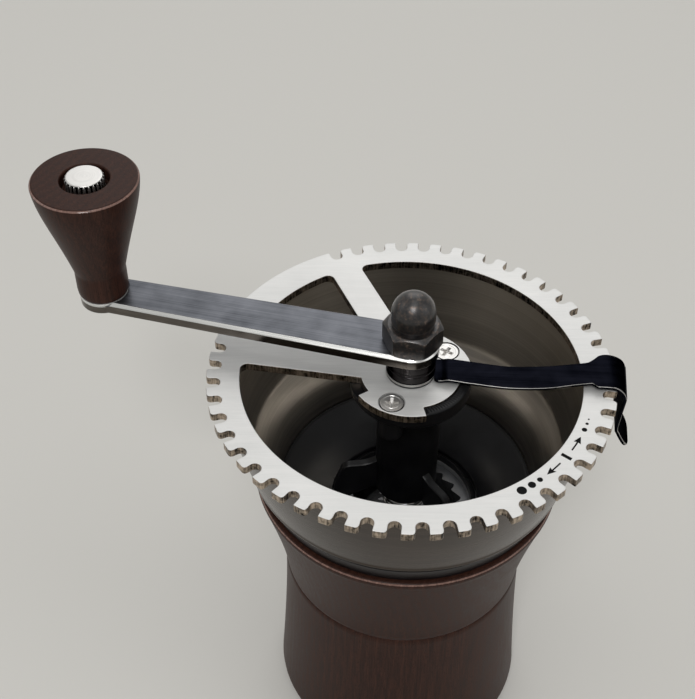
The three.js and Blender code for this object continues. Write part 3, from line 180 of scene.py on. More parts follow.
# A flat plate from closed outlines, the first one round the rest, with its edges broken
def plate(name, outlines, base, top, broken=0.0, steps=0, **place):
    curve = bpy.data.curves.new(name, "CURVE")
    curve.dimensions, curve.fill_mode = "2D", "BOTH"
    curve.extrude = ((top - base) / 2 - broken) * mm
    curve.bevel_depth, curve.offset = broken * mm, -broken * mm
    curve.bevel_resolution = steps
    for outline in outlines:
        spline = curve.splines.new("POLY")
        spline.points.add(len(outline) - 1)
        for point, (x, y) in zip(spline.points, outline):
            point.co = (x * mm, y * mm, 0, 1)
        spline.use_cyclic_u = True
    drawn = bpy.data.objects.new(name, curve)
    scene.collection.objects.link(drawn)
    bpy.context.view_layer.update()
    mesh = bpy.data.meshes.new_from_object(drawn.evaluated_get(bpy.context.evaluated_depsgraph_get()))
    bpy.data.objects.remove(drawn)
    draft = bmesh.new()
    draft.from_mesh(mesh)
    bmesh.ops.remove_doubles(draft, verts=draft.verts, dist=2e-6)
    bmesh.ops.recalc_face_normals(draft, faces=draft.faces)
    middle = (base + top) / 2
    points = [(v.co.x / mm, v.co.y / mm, v.co.z / mm + middle) for v in draft.verts]
    faces = [tuple(v.index for v in face.verts) for face in draft.faces]
    draft.free()
    return asPiece(name, points, faces, **place)


def applied(piece):  # puts what the modifiers make into the mesh
    bpy.context.view_layer.update()
    shaped = piece.evaluated_get(bpy.context.evaluated_depsgraph_get())
    mesh = bpy.data.meshes.new_from_object(shaped)
    piece.modifiers.clear()
    piece.data = mesh
    mesh.name = piece.name


# Cuts the tools out of the piece, or joins them to it; a cut face keeps its tool's material
def combined(piece, tools, how="DIFFERENCE", sharp=32):
    for tool in tools:
        step = piece.modifiers.new("combined", "BOOLEAN")
        step.object, step.operation, step.solver = tool, how, "EXACT"
        step.material_mode = "TRANSFER"
    applied(piece)
    for tool in tools:
        bpy.data.objects.remove(tool)
    shade(piece, sharp)


def edged(piece, width, angle):  # rounds the edges that turn by more than the angle
    step = piece.modifiers.new("edged", "BEVEL")
    step.width, step.segments, step.limit_method = width * mm, 2, "ANGLE"
    step.angle_limit = math.radians(angle)
    applied(piece)
    shade(piece)


# Shades the broad faces flat and leaves the turn to the small faces beside them
def trued(piece):
    step = piece.modifiers.new("trued", "WEIGHTED_NORMAL")
    step.keep_sharp, step.weight = True, 60
    applied(piece)


# Gives another finish to the faces that chosen(middle, normal) picks, with the middle in millimetres
def refinished(piece, finish, chosen):
    piece.data.materials.append(finish)
    last = len(piece.data.materials) - 1
    for face in piece.data.polygons:
        if chosen(face.center / mm, face.normal):
            face.material_index = last


def fitted(piece, body, slot, *nodes):
    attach(piece, body)
    if nodes:
        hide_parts(*nodes)


# Material helpers
def linear(shown):
    channels = [int(shown[i : i + 2], 16) / 255 for i in (1, 3, 5)]
    flat = [c / 12.92 if c <= 0.04045 else ((c + 0.055) / 1.055) ** 2.4 for c in channels]
    return (*flat, 1)


def plugged(tree, node, inputs):  # by name, or in the node's own order; a socket is linked
    pairs = inputs.items() if isinstance(inputs, dict) else enumerate(inputs)
    for name, value in pairs:
        if isinstance(value, bpy.types.NodeSocket):
            tree.links.new(value, node.inputs[name])
        else:
            node.inputs[name].default_value = value


# Adds a node with its settings, inputs and links, and a colour ramp's stops; hands back its outputs
def add(tree, kind, inputs=(), stops=(), **settings):
    made = tree.nodes.new("ShaderNode" + kind)
    for name, value in settings.items():
        setattr(made, name, value)
    plugged(tree, made, inputs)
    for _ in stops[2:]:
        made.color_ramp.elements.new(0.5)
    for k, (position, shown) in enumerate(stops):
        mark = made.color_ramp.elements[k]
        mark.position, mark.color = position, linear(shown)
    return made.outputs


def started(name, metallic=0.0):
    material = bpy.data.materials.new(name)
    material.use_nodes = True
    shader = material.node_tree.nodes["Principled BSDF"]
    shader.inputs["Metallic"].default_value = metallic
    return material, material.node_tree, shader


# What all the looks share: their colour, a roughness that follows a grain, and a relief in a height
def surfaced(tree, shader, colour, grain, rough, height, strength, depth, span=(0.3, 0.7)):
    dull = add(tree, "MapRange", [grain, *span, *rough])[0]
    relief = add(tree, "Bump", {"Height": height, "Strength": strength, "Distance": depth * mm})[0]
    plugged(tree, shader, {"Base Color": colour, "Roughness": dull, "Normal": relief})


# Coordinates that run round the piece's own axis: long round it, and one unit across for each
# spacing. Height counts for more than distance, so a wall, a flat and a cone all get their rings.
def roundCoordinates(tree, spacing, sweep):
    place = add(tree, "TexCoord")["Object"]
    height = add(tree, "SeparateXYZ", [place])["Z"]
    flat = add(tree, "VectorMath", [place, (1, 1, 0)], operation="MULTIPLY")[0]
    out = add(tree, "VectorMath", [flat], operation="LENGTH")["Value"]
    across = add(tree, "Math", [height, 1.37, out], operation="MULTIPLY_ADD")[0]
    lines = add(tree, "Math", [across, 1 / (spacing * mm)], operation="MULTIPLY")[0]
    unit = add(tree, "VectorMath", [flat], operation="NORMALIZE")[0]
    swept = add(tree, "VectorMath", {0: unit, "Scale": sweep}, operation="SCALE")[0]
    sides = add(tree, "SeparateXYZ", [swept])
    return add(tree, "CombineXYZ", [sides["X"], sides["Y"], lines])[0]


# Coordinates in units of the spacings along x, y and z, or of one spacing for all three
def straightCoordinates(tree, x, y=None, z=None):
    place = add(tree, "TexCoord")["Object"]
    scale = [1 / (spacing * mm) for spacing in (x, y or x, z or x)]
    return add(tree, "Mapping", {"Vector": place, "Scale": scale})[0]


# A metal whose finish is a set of fine lines, left by a belt, a lathe tool or a spinning roller.
# Real lines are 0.05 to 0.1 mm apart, too fine to show, so they are drawn coarser, 0.2 mm and up.
# The contrast is the share of the noise that takes one tone to the other.
def linedMetal(
    name, run, tones, rough, spacing, length=0, sweep=1.0, cloud=14, contrast=0.2, relief=0.35,
    metallic=1.0, glancing="#ffffff", anisotropy=None,
):
    material, tree, shader = started(name, metallic)
    if run == "round":
        fine = roundCoordinates(tree, spacing, sweep)
        broad = roundCoordinates(tree, spacing * 9, sweep * 0.4)
    else:
        sides = [length, spacing, spacing] if run == "straight" else [spacing, spacing, length]
        fine = straightCoordinates(tree, *sides)
        broad = straightCoordinates(tree, *[3 * s if s == length else 9 * s for s in sides])
    spots = straightCoordinates(tree, cloud)
    lines, bands, patches = [
        add(tree, "TexNoise", {"Vector": at, "Scale": 1.0, "Detail": detail})["Fac"]
        for at, detail in ((fine, 3.0), (broad, 2.0), (spots, 4.0))
    ]
    mixed = add(tree, "Mix", {0: 0.45, 2: lines, 3: bands}, data_type="FLOAT")[0]
    tone = add(tree, "Mix", {0: 0.35, 2: mixed, 3: patches}, data_type="FLOAT")[0]
    stops = [(0.5 - contrast, tones[0]), (0.5 + contrast, tones[1])]
    colour = add(tree, "ValToRGB", [tone], stops)[0]
    surfaced(tree, shader, colour, mixed, rough, mixed, relief, 0.03)
    shader.inputs["Specular Tint"].default_value = linear(glancing)
    if anisotropy:
        axis = add(tree, "Tangent", direction_type="RADIAL", axis="Z")[0]
        plugged(tree, shader, {"Anisotropic": anisotropy, "Tangent": axis})
    return material


# Brushed stainless steel: a fine belt grain, so the plate reads nearly white under a broad lamp;
# its open grain scatters part of the light, so it is less than a full metal
brushedStainless = linedMetal(
    "brushedStainless", "straight", ("#cfcfcd", "#e6e5e3"), (0.48, 0.58), 0.22,
    length=9, cloud=22, relief=0.2, metallic=0.6,
)

# Laser-cut plate edge: the beam leaves upright striations, and the walls' dark brown tones are painted
# shade and reflection
laserCutEdge = linedMetal(
    "laserCutEdge", "upright", ("#17120e", "#c4b4a2"), (0.25, 0.42), 0.5,
    length=4, cloud=1.3, contrast=0.1,
)

# Spun stainless steel: the roller leaves rings round the bowl, and they stretch reflections upright. Its
# tones are painted dark as shade on the outside of the bowl
spunStainless = linedMetal(
    "spunStainless", "round", ("#302b27", "#574e47"), (0.2, 0.3), 0.4,
    sweep=1.2, cloud=30, anisotropy=0.6,
)

# Spun stainless steel inside the bowl: a copy of the outside's steel painted paler as light, and softer
paintedLightInsideStainless = linedMetal(
    "paintedLightInsideStainless", "round", ("#a59f97", "#d8d2c9"), (0.3, 0.4), 0.6,
    sweep=0.5, cloud=34, relief=0.2, anisotropy=0.5,
)

# Ground stainless flat: a lengthwise grain with odd deeper scratches, blue-grey in soft light
groundStainless = linedMetal(
    "groundStainless", "straight", ("#43454a", "#7a7c82"), (0.3, 0.44), 0.3,
    length=26, cloud=9, contrast=0.16, relief=0.25,
)

# Arm bevel: the arm's steel painted bright as a highlight, so a pale line runs round the darker arm
paintedHighlightBevel = linedMetal(
    "paintedHighlightBevel", "straight", ("#d6d6d4", "#efefec"), (0.2, 0.3), 0.3,
    length=20, cloud=16, relief=0.12,
)

# Buffed arm side: painted darker than the ground top as shade on the upright sides, and smooth enough to
# mirror the wheel below it
shadedBuffedArmSide = linedMetal(
    "shadedBuffedArmSide", "straight", ("#4a4642", "#76706a"), (0.14, 0.22), 0.5,
    length=12, cloud=9, relief=0.15,
)

# Polished shaft steel: centreless ground and buffed, with only a trace of rings
polishedSteel = linedMetal(
    "polishedSteel", "round", ("#b4b6ba", "#c9cbce"), (0.13, 0.2), 0.3, relief=0.15
)

# Black chrome plate: mirror-like and dark, as on the boss and the clamp ring; it also paints shade into
# the hub screws' rims and the knurl's roots
blackChromeAndShade = linedMetal(
    "blackChromeAndShade", "round", ("#262425", "#3a3838"), (0.14, 0.22), 0.35, relief=0.1, glancing="#7a7878"
)

# Bright machine screw: faced on the lathe, so fine rings run round the head
facedScrewSteel = linedMetal(
    "facedScrewSteel", "round", ("#cbc9c6", "#eceae7"), (0.32, 0.42), 0.4, sweep=0.4, relief=0.1
)

# Blued spring steel: heat-blued strip with a satin lengthwise grain
bluedSpringSteel = linedMetal(
    "bluedSpringSteel", "straight", ("#0a0b0f", "#1b1c23"), (0.3, 0.42), 0.24,
    length=16, cloud=5, contrast=0.15, relief=0.16, glancing="#5c5d64",
)

# Edge of the blued strip with a painted highlight: a thin pale line where its upper corner and the eye's
# rim catch the light
paintedHighlightSpringEdge = linedMetal(
    "paintedHighlightSpringEdge", "straight", ("#82817f", "#bab8b5"), (0.42, 0.55), 0.3, length=10, cloud=5
)

# Hardened burr steel: cast close to shape and hardened, an even grey that is only half bright
hardenedBurrSteel = linedMetal(
    "hardenedBurrSteel", "round", ("#6f7072", "#909194"), (0.34, 0.48), 0.5, sweep=3.0, cloud=5
)

# Turned aluminium casting: pale and dull, with the lathe tool's rings
turnedAluminium = linedMetal(
    "turnedAluminium", "round", ("#a3a5a7", "#bfc1c2"), (0.36, 0.5), 0.35, cloud=12
)

# Nut edge with a painted highlight: a pale line along the chamfer's upward faces
paintedHighlightNutEdge = linedMetal(
    "paintedHighlightNutEdge", "straight", ("#8d847d", "#cfc6be"), (0.3, 0.42), 0.5, length=2, cloud=2
)


# Sintered bronze: pressed from powder, so oil-filled pores speckle it and it never quite shines;
# the pores are 0.05 mm across and drawn coarser, because that is too fine to show
def sinteredBronzeLook(tones=("#7d5f33", "#b48d52"), pore=0.35, rough=(0.32, 0.5)):
    material, tree, shader = started("sinteredBronze", 1.0)
    grains = straightCoordinates(tree, pore)
    pores = add(tree, "TexVoronoi", {"Vector": grains, "Scale": 1.0})["Distance"]
    colour = add(tree, "ValToRGB", [pores], [(0.1, tones[0]), (0.6, tones[1])])[0]
    surfaced(tree, shader, colour, pores, rough, pores, 0.3, 0.04, (0.0, 1.0))
    return material


# Hot-blacked steel, worn: brown shows in mottled patches over the dome, under the oil's dull sheen
def blackOxideLook(tones, patch=1.2, dimple=0.6, rough=(0.3, 0.44)):
    material, tree, shader = started("blackOxide", 0.85)
    wide, close = straightCoordinates(tree, patch), straightCoordinates(tree, dimple)
    patches, dimples = [
        add(tree, "TexNoise", {"Vector": at, "Scale": 1.0, "Detail": detail, "Roughness": broken})["Fac"]
        for at, detail, broken in ((wide, 6.0, 0.65), (close, 4.0, 0.6))
    ]
    colour = add(tree, "ValToRGB", [patches], tones)[0]
    surfaced(tree, shader, colour, dimples, rough, dimples, 0.5, 0.12)
    plugged(tree, shader, {"Coat Weight": 1.0, "Coat Roughness": 0.34})
    return material


woodGrain = {
    "fibre": (0.5, 0.5, 14),  # across, across and along the grain
    "pore": (0.26, 0.26, 2.6),
    "poreTone": "#150b07",
    "ring": 2.6,  # from one year's ring to the next
    "pith": (-160, 95),  # the middle of the tree lies outside the piece
    "rough": (0.38, 0.5),
}


# Dark hardwood, turned along its grain and oiled: short dark pores over a faint figure of rings
def oiledWoodLook(name, tones, gloss, film):
    material, tree, shader = started(name)
    strands = straightCoordinates(tree, *woodGrain["fibre"])
    inputs = {"Vector": strands, "Scale": 1.0, "Detail": 5.0, "Roughness": 0.6}
    fibres = add(tree, "TexNoise", inputs)["Fac"]
    place = add(tree, "TexCoord")["Object"]
    offset = (*(-side * mm for side in woodGrain["pith"]), 0)
    moved = add(tree, "VectorMath", [place, offset], operation="ADD")[0]
    upright = add(tree, "VectorMath", [moved, (1, 1, 0.02)], operation="MULTIPLY")[0]
    inputs = {
        "Vector": upright, "Scale": 0.314 / (woodGrain["ring"] * mm),
        "Distortion": 5.0, "Detail": 4.0, "Detail Scale": 0.9,
    }
    rings = add(tree, "TexWave", inputs, wave_type="RINGS", rings_direction="Z")["Fac"]
    figure = add(tree, "Mix", {0: 0.1, 2: fibres, 3: rings}, data_type="FLOAT")[0]
    colour = add(tree, "ValToRGB", [figure], tones)[0]
    dashes = straightCoordinates(tree, *woodGrain["pore"])
    cells = add(tree, "TexVoronoi", {"Vector": dashes, "Scale": 1.0})["Distance"]
    pores = add(tree, "MapRange", [cells, 0.12, 0.3, 1.0, 0.0])[0]
    inputs = {0: pores, 6: colour, 7: linear(woodGrain["poreTone"])}
    dark = add(tree, "Mix", inputs, data_type="RGBA")[2]
    height = add(tree, "Math", [figure, pores], operation="SUBTRACT")[0]
    surfaced(tree, shader, dark, figure, woodGrain["rough"], height, 0.3, 0.05)
    coat = {"Coat Weight": gloss, "Coat Roughness": film}  # the oil's own film
    plugged(tree, shader, {"Specular IOR Level": 0.1, **coat})
    return material


# A moulding, a rubber or an ink: a cloud of two near tones over a fine grain that stands in relief.
# The real grain of 0.1 mm is too fine to show and is drawn coarser.
def mouldedLook(name, tones, rough, gloss, pitch, cloud, relief):
    material, tree, shader = started(name)
    close, wide = straightCoordinates(tree, pitch), straightCoordinates(tree, cloud)
    speckle, clouds = [
        add(tree, "TexNoise", {"Vector": at, "Scale": 1.0, "Detail": 3.0})["Fac"] for at in (close, wide)
    ]
    colour = add(tree, "ValToRGB", [clouds], [(0.3, tones[0]), (0.7, tones[1])])[0]
    surfaced(tree, shader, colour, clouds, rough, speckle, relief, 0.05)
    shader.inputs["Specular IOR Level"].default_value = gloss
    return material


sinteredBronze = sinteredBronzeLook()
blackOxide = blackOxideLook([(0.36, "#1b1a1b"), (0.5, "#2d2a2a"), (0.6, "#453a33"), (0.72, "#7a685d")])

# Oiled dark wood: nearly black-brown, with a soft sheen and no clear reflection
oiledDarkWood = oiledWoodLook(
    "oiledDarkWood", [(0.3, "#24140f"), (0.5, "#321d16"), (0.7, "#40271e")], gloss=0.08, film=0.25
)

# Wood edge with a painted highlight: lighter tones under a full glossy coat, so the rounded edge reads as
# a thin pale line
paintedHighlightWoodEdge = oiledWoodLook(
    "paintedHighlightWoodEdge", [(0.3, "#5b423a"), (0.5, "#75584e"), (0.7, "#8d6e63")], gloss=1.0, film=0.14
)

# Moulded acetal: black, with a spark-eroded texture that keeps a soft grey highlight
mouldedAcetal = mouldedLook(
    "mouldedAcetal", ("#070709", "#101012"), (0.3, 0.42), gloss=0.28, pitch=0.4, cloud=9, relief=0.2
)

# Nitrile rubber: moulded and cured, dull grey-black with no highlight
nitrileRubber = mouldedLook(
    "nitrileRubber", ("#141414", "#202020"), (0.7, 0.86), gloss=0.3, pitch=0.5, cloud=6, relief=0.4
)

# Stoved ink: baked into the sunk marks, flat black against the bright steel
stovedInk = mouldedLook(
    "stovedInk", ("#050506", "#0c0c0d"), (0.5, 0.65), gloss=0.1, pitch=0.2, cloud=2, relief=0.2
)
print("materials made:", len(bpy.data.materials))


# Wooden jar and body
wood = {"flare": 3.5, "jarCurve": 1.5, "bodyCurve": 1.35, "crown": 49.164, "crownLevel": 107.4}
bowl = {
    "wall": 1.2, "slope": 0.19, "belly": 0.0016, "tuck": 8.1, "tuckCurve": 1.8,
    "seatGap": 0.3, "roll": 0.3, "rollLevel": 118.6, "rollWidth": 0.9,
}


def woodRadius(z):
    parting, waist = level["parting"], radius["waist"]
    if z < parting:
        share = (parting - z) / (parting - level["jarBase"])
        return waist + wood["flare"] * share ** wood["jarCurve"]
    share = (z - parting) / (wood["crownLevel"] - parting)
    return waist + (wood["crown"] - waist) * share ** wood["bodyCurve"]


def bowlRadius(z):
    if z >= level["collarTop"]:
        drop = level["wheelBase"] - z
        return radius["rim"] - bowl["slope"] * drop - bowl["belly"] * drop**2
    share = (level["collarTop"] - z) / (level["collarTop"] - level["bowlBase"])
    return radius["collarRim"] - bowl["tuck"] * (1 - (1 - share) ** bowl["tuckCurve"])


def bowlSeat(z):  # what the collar and the wood leave open for the bowl
    return bowlRadius(z) + bowl["seatGap"]


jar = {
    "outside": 43.8, "floor": 9,
    "foot": 41.5, "grooves": (9, 17, 25, 33), "grooveWidth": 1.4, "grooveDepth": 0.45,
}
base, parting = level["jarBase"], level["parting"]
underside = [(0, 0)]
for middle in jar["grooves"]:
    near, far = middle - jar["grooveWidth"] / 2, middle + jar["grooveWidth"] / 2
    for distance, height in ((near, 0), (near, jar["grooveDepth"]), (far, jar["grooveDepth"]), (far, 0)):
        underside.append((distance, height, 0.15))
profile = [*underside, (jar["foot"], 0, 0.5), (jar["foot"], base), (0, base)]
fitted(turned("foot_pad", profile, finish=nitrileRubber), "jar", "rubber", "foot_pad")

profile = [
    (0, base), (jar["outside"] - 0.6, base, 0.3), (jar["outside"], base + 0.9, 0.4),
    *alongCurve(woodRadius, base + 1.6, parting - 0.8, 30),
    (radius["waist"] - 0.4, parting, 0.35),
    (radius["jarBore"] + 0.6, parting, 0.2), (radius["jarBore"], parting - 0.8, 0.4),
    (radius["jarBore"], jar["floor"], 1.2), (0, jar["floor"]),
]
fitted(turned("catch_jar", profile, finish=oiledDarkWood), "jar", "dark_wood", "catch_jar")

body = {"bore": 34.1, "seat": 42.93, "shoulder": 47.76}
crown = wood["crown"]
millBody = turned(
    "mill_body",
    [
        (body["bore"], parting, 0.3), (radius["waist"] - 0.4, parting, 0.35),
        *alongCurve(woodRadius, parting + 0.8, wood["crownLevel"] - 1.2, 30),
        (crown - 0.1, wood["crownLevel"] - 0.6, 0.5), (crown, wood["crownLevel"] + 0.6, 0.5),
        (crown - 0.5, level["bodyTop"] - 0.2, 0.6), (body["shoulder"], level["bodyTop"], 0.4),
        *alongCurve(bowlSeat, level["bodyTop"], level["bowlBase"], 12),
        (body["seat"], level["flange"]), (body["bore"], level["flange"], 0.2),
    ],
    finish=oiledDarkWood,
)
# The bead's upward-facing rounded edge gets the painted highlight
refinished(
    millBody,
    paintedHighlightWoodEdge,
    lambda at, normal: at.z > wood["crownLevel"] + 0.5
    and at.xy.length > body["shoulder"]
    and 0.35 < normal.z < 0.75,
)
fitted(millBody, "mill", "dark_wood", "mill_body")

collar = {"foot": 47.264, "lip": 0.25}
profile = [
    (collar["foot"], level["bodyTop"], 0.3),
    (bowlSeat(level["collarEdge"]) + collar["lip"], level["collarEdge"]),
    *alongCurve(bowlSeat, level["collarEdge"], level["bodyTop"], 10),
]
fitted(turned("bowl_collar", profile, finish=mouldedAcetal), "mill", "black_plastic", "bowl_collar")
print("wooden body made")


# Bowl and funnel
def bowlOutside(z):  # a small roll stands out where the belly turns in to the neck
    bulge = math.exp(-(((z - bowl["rollLevel"]) / bowl["rollWidth"]) ** 2))
    return bowlRadius(z) + bowl["roll"] * bulge


top, rollFrom, rollTo = level["wheelBase"], bowl["rollLevel"] - 2.1, bowl["rollLevel"] + 2.4
hopperBowl = turned(
    "hopper_bowl",
    [
        *alongCurve(bowlRadius, level["bowlBase"], rollFrom - 0.1, 20),
        *alongCurve(bowlOutside, rollFrom, rollTo, 18),
        *alongCurve(bowlRadius, rollTo + 1, top - 0.4, 20),
        (bowlRadius(top), top, 0.25), (bowlRadius(top) - bowl["wall"], top, 0.25),
        *alongCurve(lambda z: bowlRadius(z) - bowl["wall"], top - 0.4, level["bowlBase"], 50),
    ],
    192,
    finish=spunStainless,
)
# The inward faces get the paler copy, painted light
refinished(hopperBowl, paintedLightInsideStainless, lambda at, normal: at.xy.dot(normal.xy) < -1)
fitted(hopperBowl, "mill", "spun_steel", "hopper_bowl")

funnel = {"wall": 1.6, "knee": 32, "kneeTop": 94.9, "floor": 41.13}
lip, knee, floor, top = level["throatBase"], funnel["knee"], funnel["floor"], level["flangeTop"]
profile = [
    (radius["throat"], lip, 0.2), (radius["throat"] + funnel["wall"], lip, 0.2),
    (knee, top - funnel["wall"], 0.3), (knee, top),
    (radius["flange"], top, 0.2), (radius["flange"], level["bowlBase"], 0.2),
    (floor, level["bowlBase"]), (floor, level["bowlBase"] + 0.8, 0.2),
    (floor - 1, level["bowlBase"] + 0.8, 0.4), (knee, funnel["kneeTop"] + 0.6, 2.5),
    (radius["throat"], lip + 2.4, 0.5),
]
fitted(turned("funnel_floor", profile, finish=mouldedAcetal), "mill", "black_plastic", "funnel_floor")
print("bowl made")

# Index wheel
wheel = {
    "tip": 62,
    "pitch": 7.2,
    "lastNotch": 21,
    "plainPitches": 8,  # from the last notch on one side to the last on the other
    "notchDepth": 4.3,
    "notchWidth": 3.7,
    "tipFlare": (1.25, 0.3),  # the side that the lever climbs is eased more than the other
    "tipDepth": (1.7, 0.5),
    "ringInner": 51.9,
    "spokeWidth": 10.3,
    "spokes": (112.5, 170.1),
    "windowRound": 2.2,
    "hub": 18.9,
    "hubCut": 15.3,
    "hubCuts": ((321.3, 39.3), (200, 12), (442.6, 12)),  # middle, and swing to either side
    "bore": 7.3,
    "edge": 0.22,
    "cutFrom": 14.5,  # the beam cut every edge that is further out
}


# One notch on the x axis, from the tip below it, round its root, to the tip above it
def notchOutline():
    half, tip = wheel["notchWidth"] / 2, wheel["tip"]
    mouth = math.sqrt(tip**2 - half**2)
    before, after = [math.degrees((half + flare) / tip) for flare in wheel["tipFlare"]]
    eased, crisp = [mouth - depth for depth in wheel["tipDepth"]]
    return [
        *bent(polar(tip, -before), (mouth, -half), (eased, -half), 7),
        *arcPoints((tip - wheel["notchDepth"] + half, 0), half, -90, -270, 14),
        *bent((crisp, half), (mouth, half), polar(tip, after), 7),
    ], before, after


def rimOutline():
    notch, before, after = notchOutline()
    corners, last = [], wheel["lastNotch"]
    for count in range(-last, last + 1):
        angle = turnOf["mark"] + count * wheel["pitch"]
        corners += [rotated(x, y, angle) for x, y in notch]
        pitches, steps = (wheel["plainPitches"], 36) if count == last else (1, 4)
        following = angle + pitches * wheel["pitch"] - before
        corners += arcPoints((0, 0), wheel["tip"], angle + after, following, steps)[1:-1]
    return corners


# A window between two spokes; its inner side steps in wherever the hub is cut back
def windowOutline(start, end):
    outer, corner, hubSide, cutSide = [wheel[k] for k in ("ringInner", "windowRound", "hub", "hubCut")]
    half = wheel["spokeWidth"] / 2 + corner
    outerReach = math.sqrt((outer - corner) ** 2 - half**2)
    innerReach = math.sqrt((hubSide + corner) ** 2 - half**2)
    outerSwing = math.degrees(math.atan2(half, outerReach))
    innerSwing = math.degrees(math.atan2(half, innerReach))
    edgeSwing = math.degrees(math.asin(wheel["spokeWidth"] / 2 / cutSide))
    inner, angle = [], end - innerSwing
    for middle, swing in sorted(wheel["hubCuts"], reverse=True):
        if not start < middle < end:
            continue
        high, low = middle + swing, middle - swing
        if high < angle:
            inner += arcPoints((0, 0), hubSide, angle, high, 8)[:-1]
            inner += [(*polar(hubSide, high), 0.35), (*polar(cutSide, high), 0.5)]
        else:  # the cut-out runs into the spoke's edge
            high = end - edgeSwing
            inner.append((*polar(cutSide, high), 0.3))
        tucked = low < start + innerSwing
        if tucked:
            low = start + edgeSwing
        inner += arcPoints((0, 0), cutSide, high, low, 20)[1:-1]
        inner.append((*polar(cutSide, low), 0.3 if tucked else 0.5))
        if not tucked:
            inner.append((*polar(hubSide, low), 0.35))
        angle = None if tucked else low
    if angle:
        inner += arcPoints((0, 0), hubSide, angle, start + innerSwing, 10)[(1 if inner else 0) :]
    onStart, onEnd = rotated(outerReach, half, start), rotated(outerReach, -half, end)
    outline = [
        *arcPoints(onStart, corner, start - 90, start + outerSwing, 10),
        *arcPoints((0, 0), outer, start + outerSwing, end - outerSwing, int(end - start) // 2)[1:-1],
        *arcPoints(onEnd, corner, end - outerSwing, end + 90, 10),
    ]
    if len(inner[0]) == 2:
        onEnd, swung = rotated(innerReach, -half, end), end + 180 - innerSwing
        outline += arcPoints(onEnd, corner, end + 90, swung, 10)[:-1]
    outline += inner
    if len(inner[-1]) == 2:
        onStart, swung = rotated(innerReach, half, start), start + 180 + innerSwing
        outline += arcPoints(onStart, corner, swung, start + 270, 10)[1:]
    return softened(outline, 3)


hubScrew = {
    "circle": 14.4, "angles": (244.8, 397.8, 501.3), "head": 3.7, "shank": 2, "length": 11,
    "cross": (4.1, 1.15, 1.3),  # length, width and depth
}
marks = {
    "circle": 54.9,
    "depth": 0.15,
    "bar": (3.3, 1.15),
    "dots": ((12.8, 0.8), (15.5, 0.5), (17.5, 0.3), (-12.5, 0.85), (-15.7, 1.15), (-19.5, 1.45)),
    "arrow": (3.2, 9.6, 0.5, 2.3),  # from, to, line width, head width
    "arrowHead": 2.6,
}


def markTools():
    circle, middle = marks["circle"], turnOf["mark"]
    length, width = [size / 2 for size in marks["bar"]]
    corners = ((-length, -width), (length, -width), (length, width), (-length, width))
    outlines = [[rotated(circle + x, y, middle) for x, y in corners]]
    for offset, size in marks["dots"]:
        outlines.append(arcPoints(polar(circle, middle + offset), size, 0, 345, 23))
    near, far, line, head = marks["arrow"]
    neck = far - marks["arrowHead"]
    shape = [
        *arcPoints((0, 0), circle - line / 2, near, neck, 6),
        polar(circle - head / 2, neck - 0.3), polar(circle, far), polar(circle + head / 2, neck - 0.3),
        *arcPoints((0, 0), circle + line / 2, neck, near, 6),
    ]
    for side in (1, -1):
        outlines.append([rotated(x, side * y, middle) for x, y in shape])
    low, high = level["wheelTop"] - marks["depth"], level["wheelTop"] + 0.4
    return [plate("mark", [outline], low, high, finish=stovedInk) for outline in outlines]


indexWheel = plate(
    "index_wheel",
    [
        rimOutline(),
        windowOutline(*wheel["spokes"]),
        windowOutline(wheel["spokes"][1], wheel["spokes"][0] + 360),
        arcPoints((0, 0), wheel["bore"], 0, 354, 59),
    ],
    level["wheelBase"],
    level["wheelTop"],
    wheel["edge"],
    steps=1,
    finish=brushedStainless,
)
top, hole, sink = level["wheelTop"], hubScrew["shank"] + 0.2, hubScrew["head"] + 0.35
profile = [
    (0, top - 4), (hole, top - 4), (hole, top - 2.3), (sink, top - 0.6), (sink, top + 1), (0, top + 1)
]
screwSpots = [polar(hubScrew["circle"], angle) for angle in hubScrew["angles"]]
sinks = [turned("sink", profile, 64, at=spot, finish=brushedStainless) for spot in screwSpots]
combined(indexWheel, sinks + markTools(), sharp=20)
trued(indexWheel)
# The cut walls get the striations, with tones painted as shade and reflection
refinished(
    indexWheel,
    laserCutEdge,
    lambda at, normal: at.xy.length > wheel["cutFrom"] and abs(normal.z) < 0.4,
)
fitted(indexWheel, "mill", "brushed_steel", "index_wheel")
print("index wheel made:", len(indexWheel.data.polygons), "faces")


# Screws in the hub
def crossOutline(length, width, corner):
    a, b = length / 2, width / 2
    corners = []
    for k in range(4):
        for x, y, size in ((a, -b, corner), (a, b, corner), (b, b, corner * 0.6)):
            corners.append((*rotated(x, y, 90 * k), size))
    return softened(corners, 3)


def crossCutter(size, face, side, **place):  # narrows as it goes in from the face, up or down
    length, width, depth = size
    deep, wide = crossOutline(length * 0.5, width * 0.5, 0.1), crossOutline(length, width, 0.2)
    sections = ((deep, face + side * depth), (wide, face), (wide, face - side * 0.3))
    rings = [[(x, y, z) for x, y in outline] for outline, z in sections]
    return lofted("cross", rings[::-1] if side > 0 else rings, **place)


head, shank, top = hubScrew["head"], hubScrew["shank"], level["wheelTop"] - 0.1
profile = [
    (0, top - hubScrew["length"]), (shank - 0.4, top - hubScrew["length"], 0.1),
    (shank, top - hubScrew["length"] + 0.5, 0.1), (shank, top - 2.2, 0.3),
    (head, top - 0.6, 0.1), (head, top - 0.1, 0.1), (head - 0.12, top, 0.1),
    (2.9, top), (2.8, top - 0.08), (2.3, top - 0.08), (2.2, top), (0, top),  # a ring from the lathe
]
for i, angle in enumerate(hubScrew["angles"]):
    place = {"at": screwSpots[i], "turn": angle + 20, "finish": facedScrewSteel}
    screw = turned("hub_screw_%d" % (i + 1), profile, 64, **place)
    combined(screw, [crossCutter(hubScrew["cross"], top, -1, **place)])
    # The head's rim is painted dark as shade in the gap round the head
    refinished(screw, blackChromeAndShade, lambda at, normal: at.xy.length > hubScrew["head"] - 0.15)
    fitted(screw, "mill", "screw_steel", "hub_screw_%d" % (i + 1))

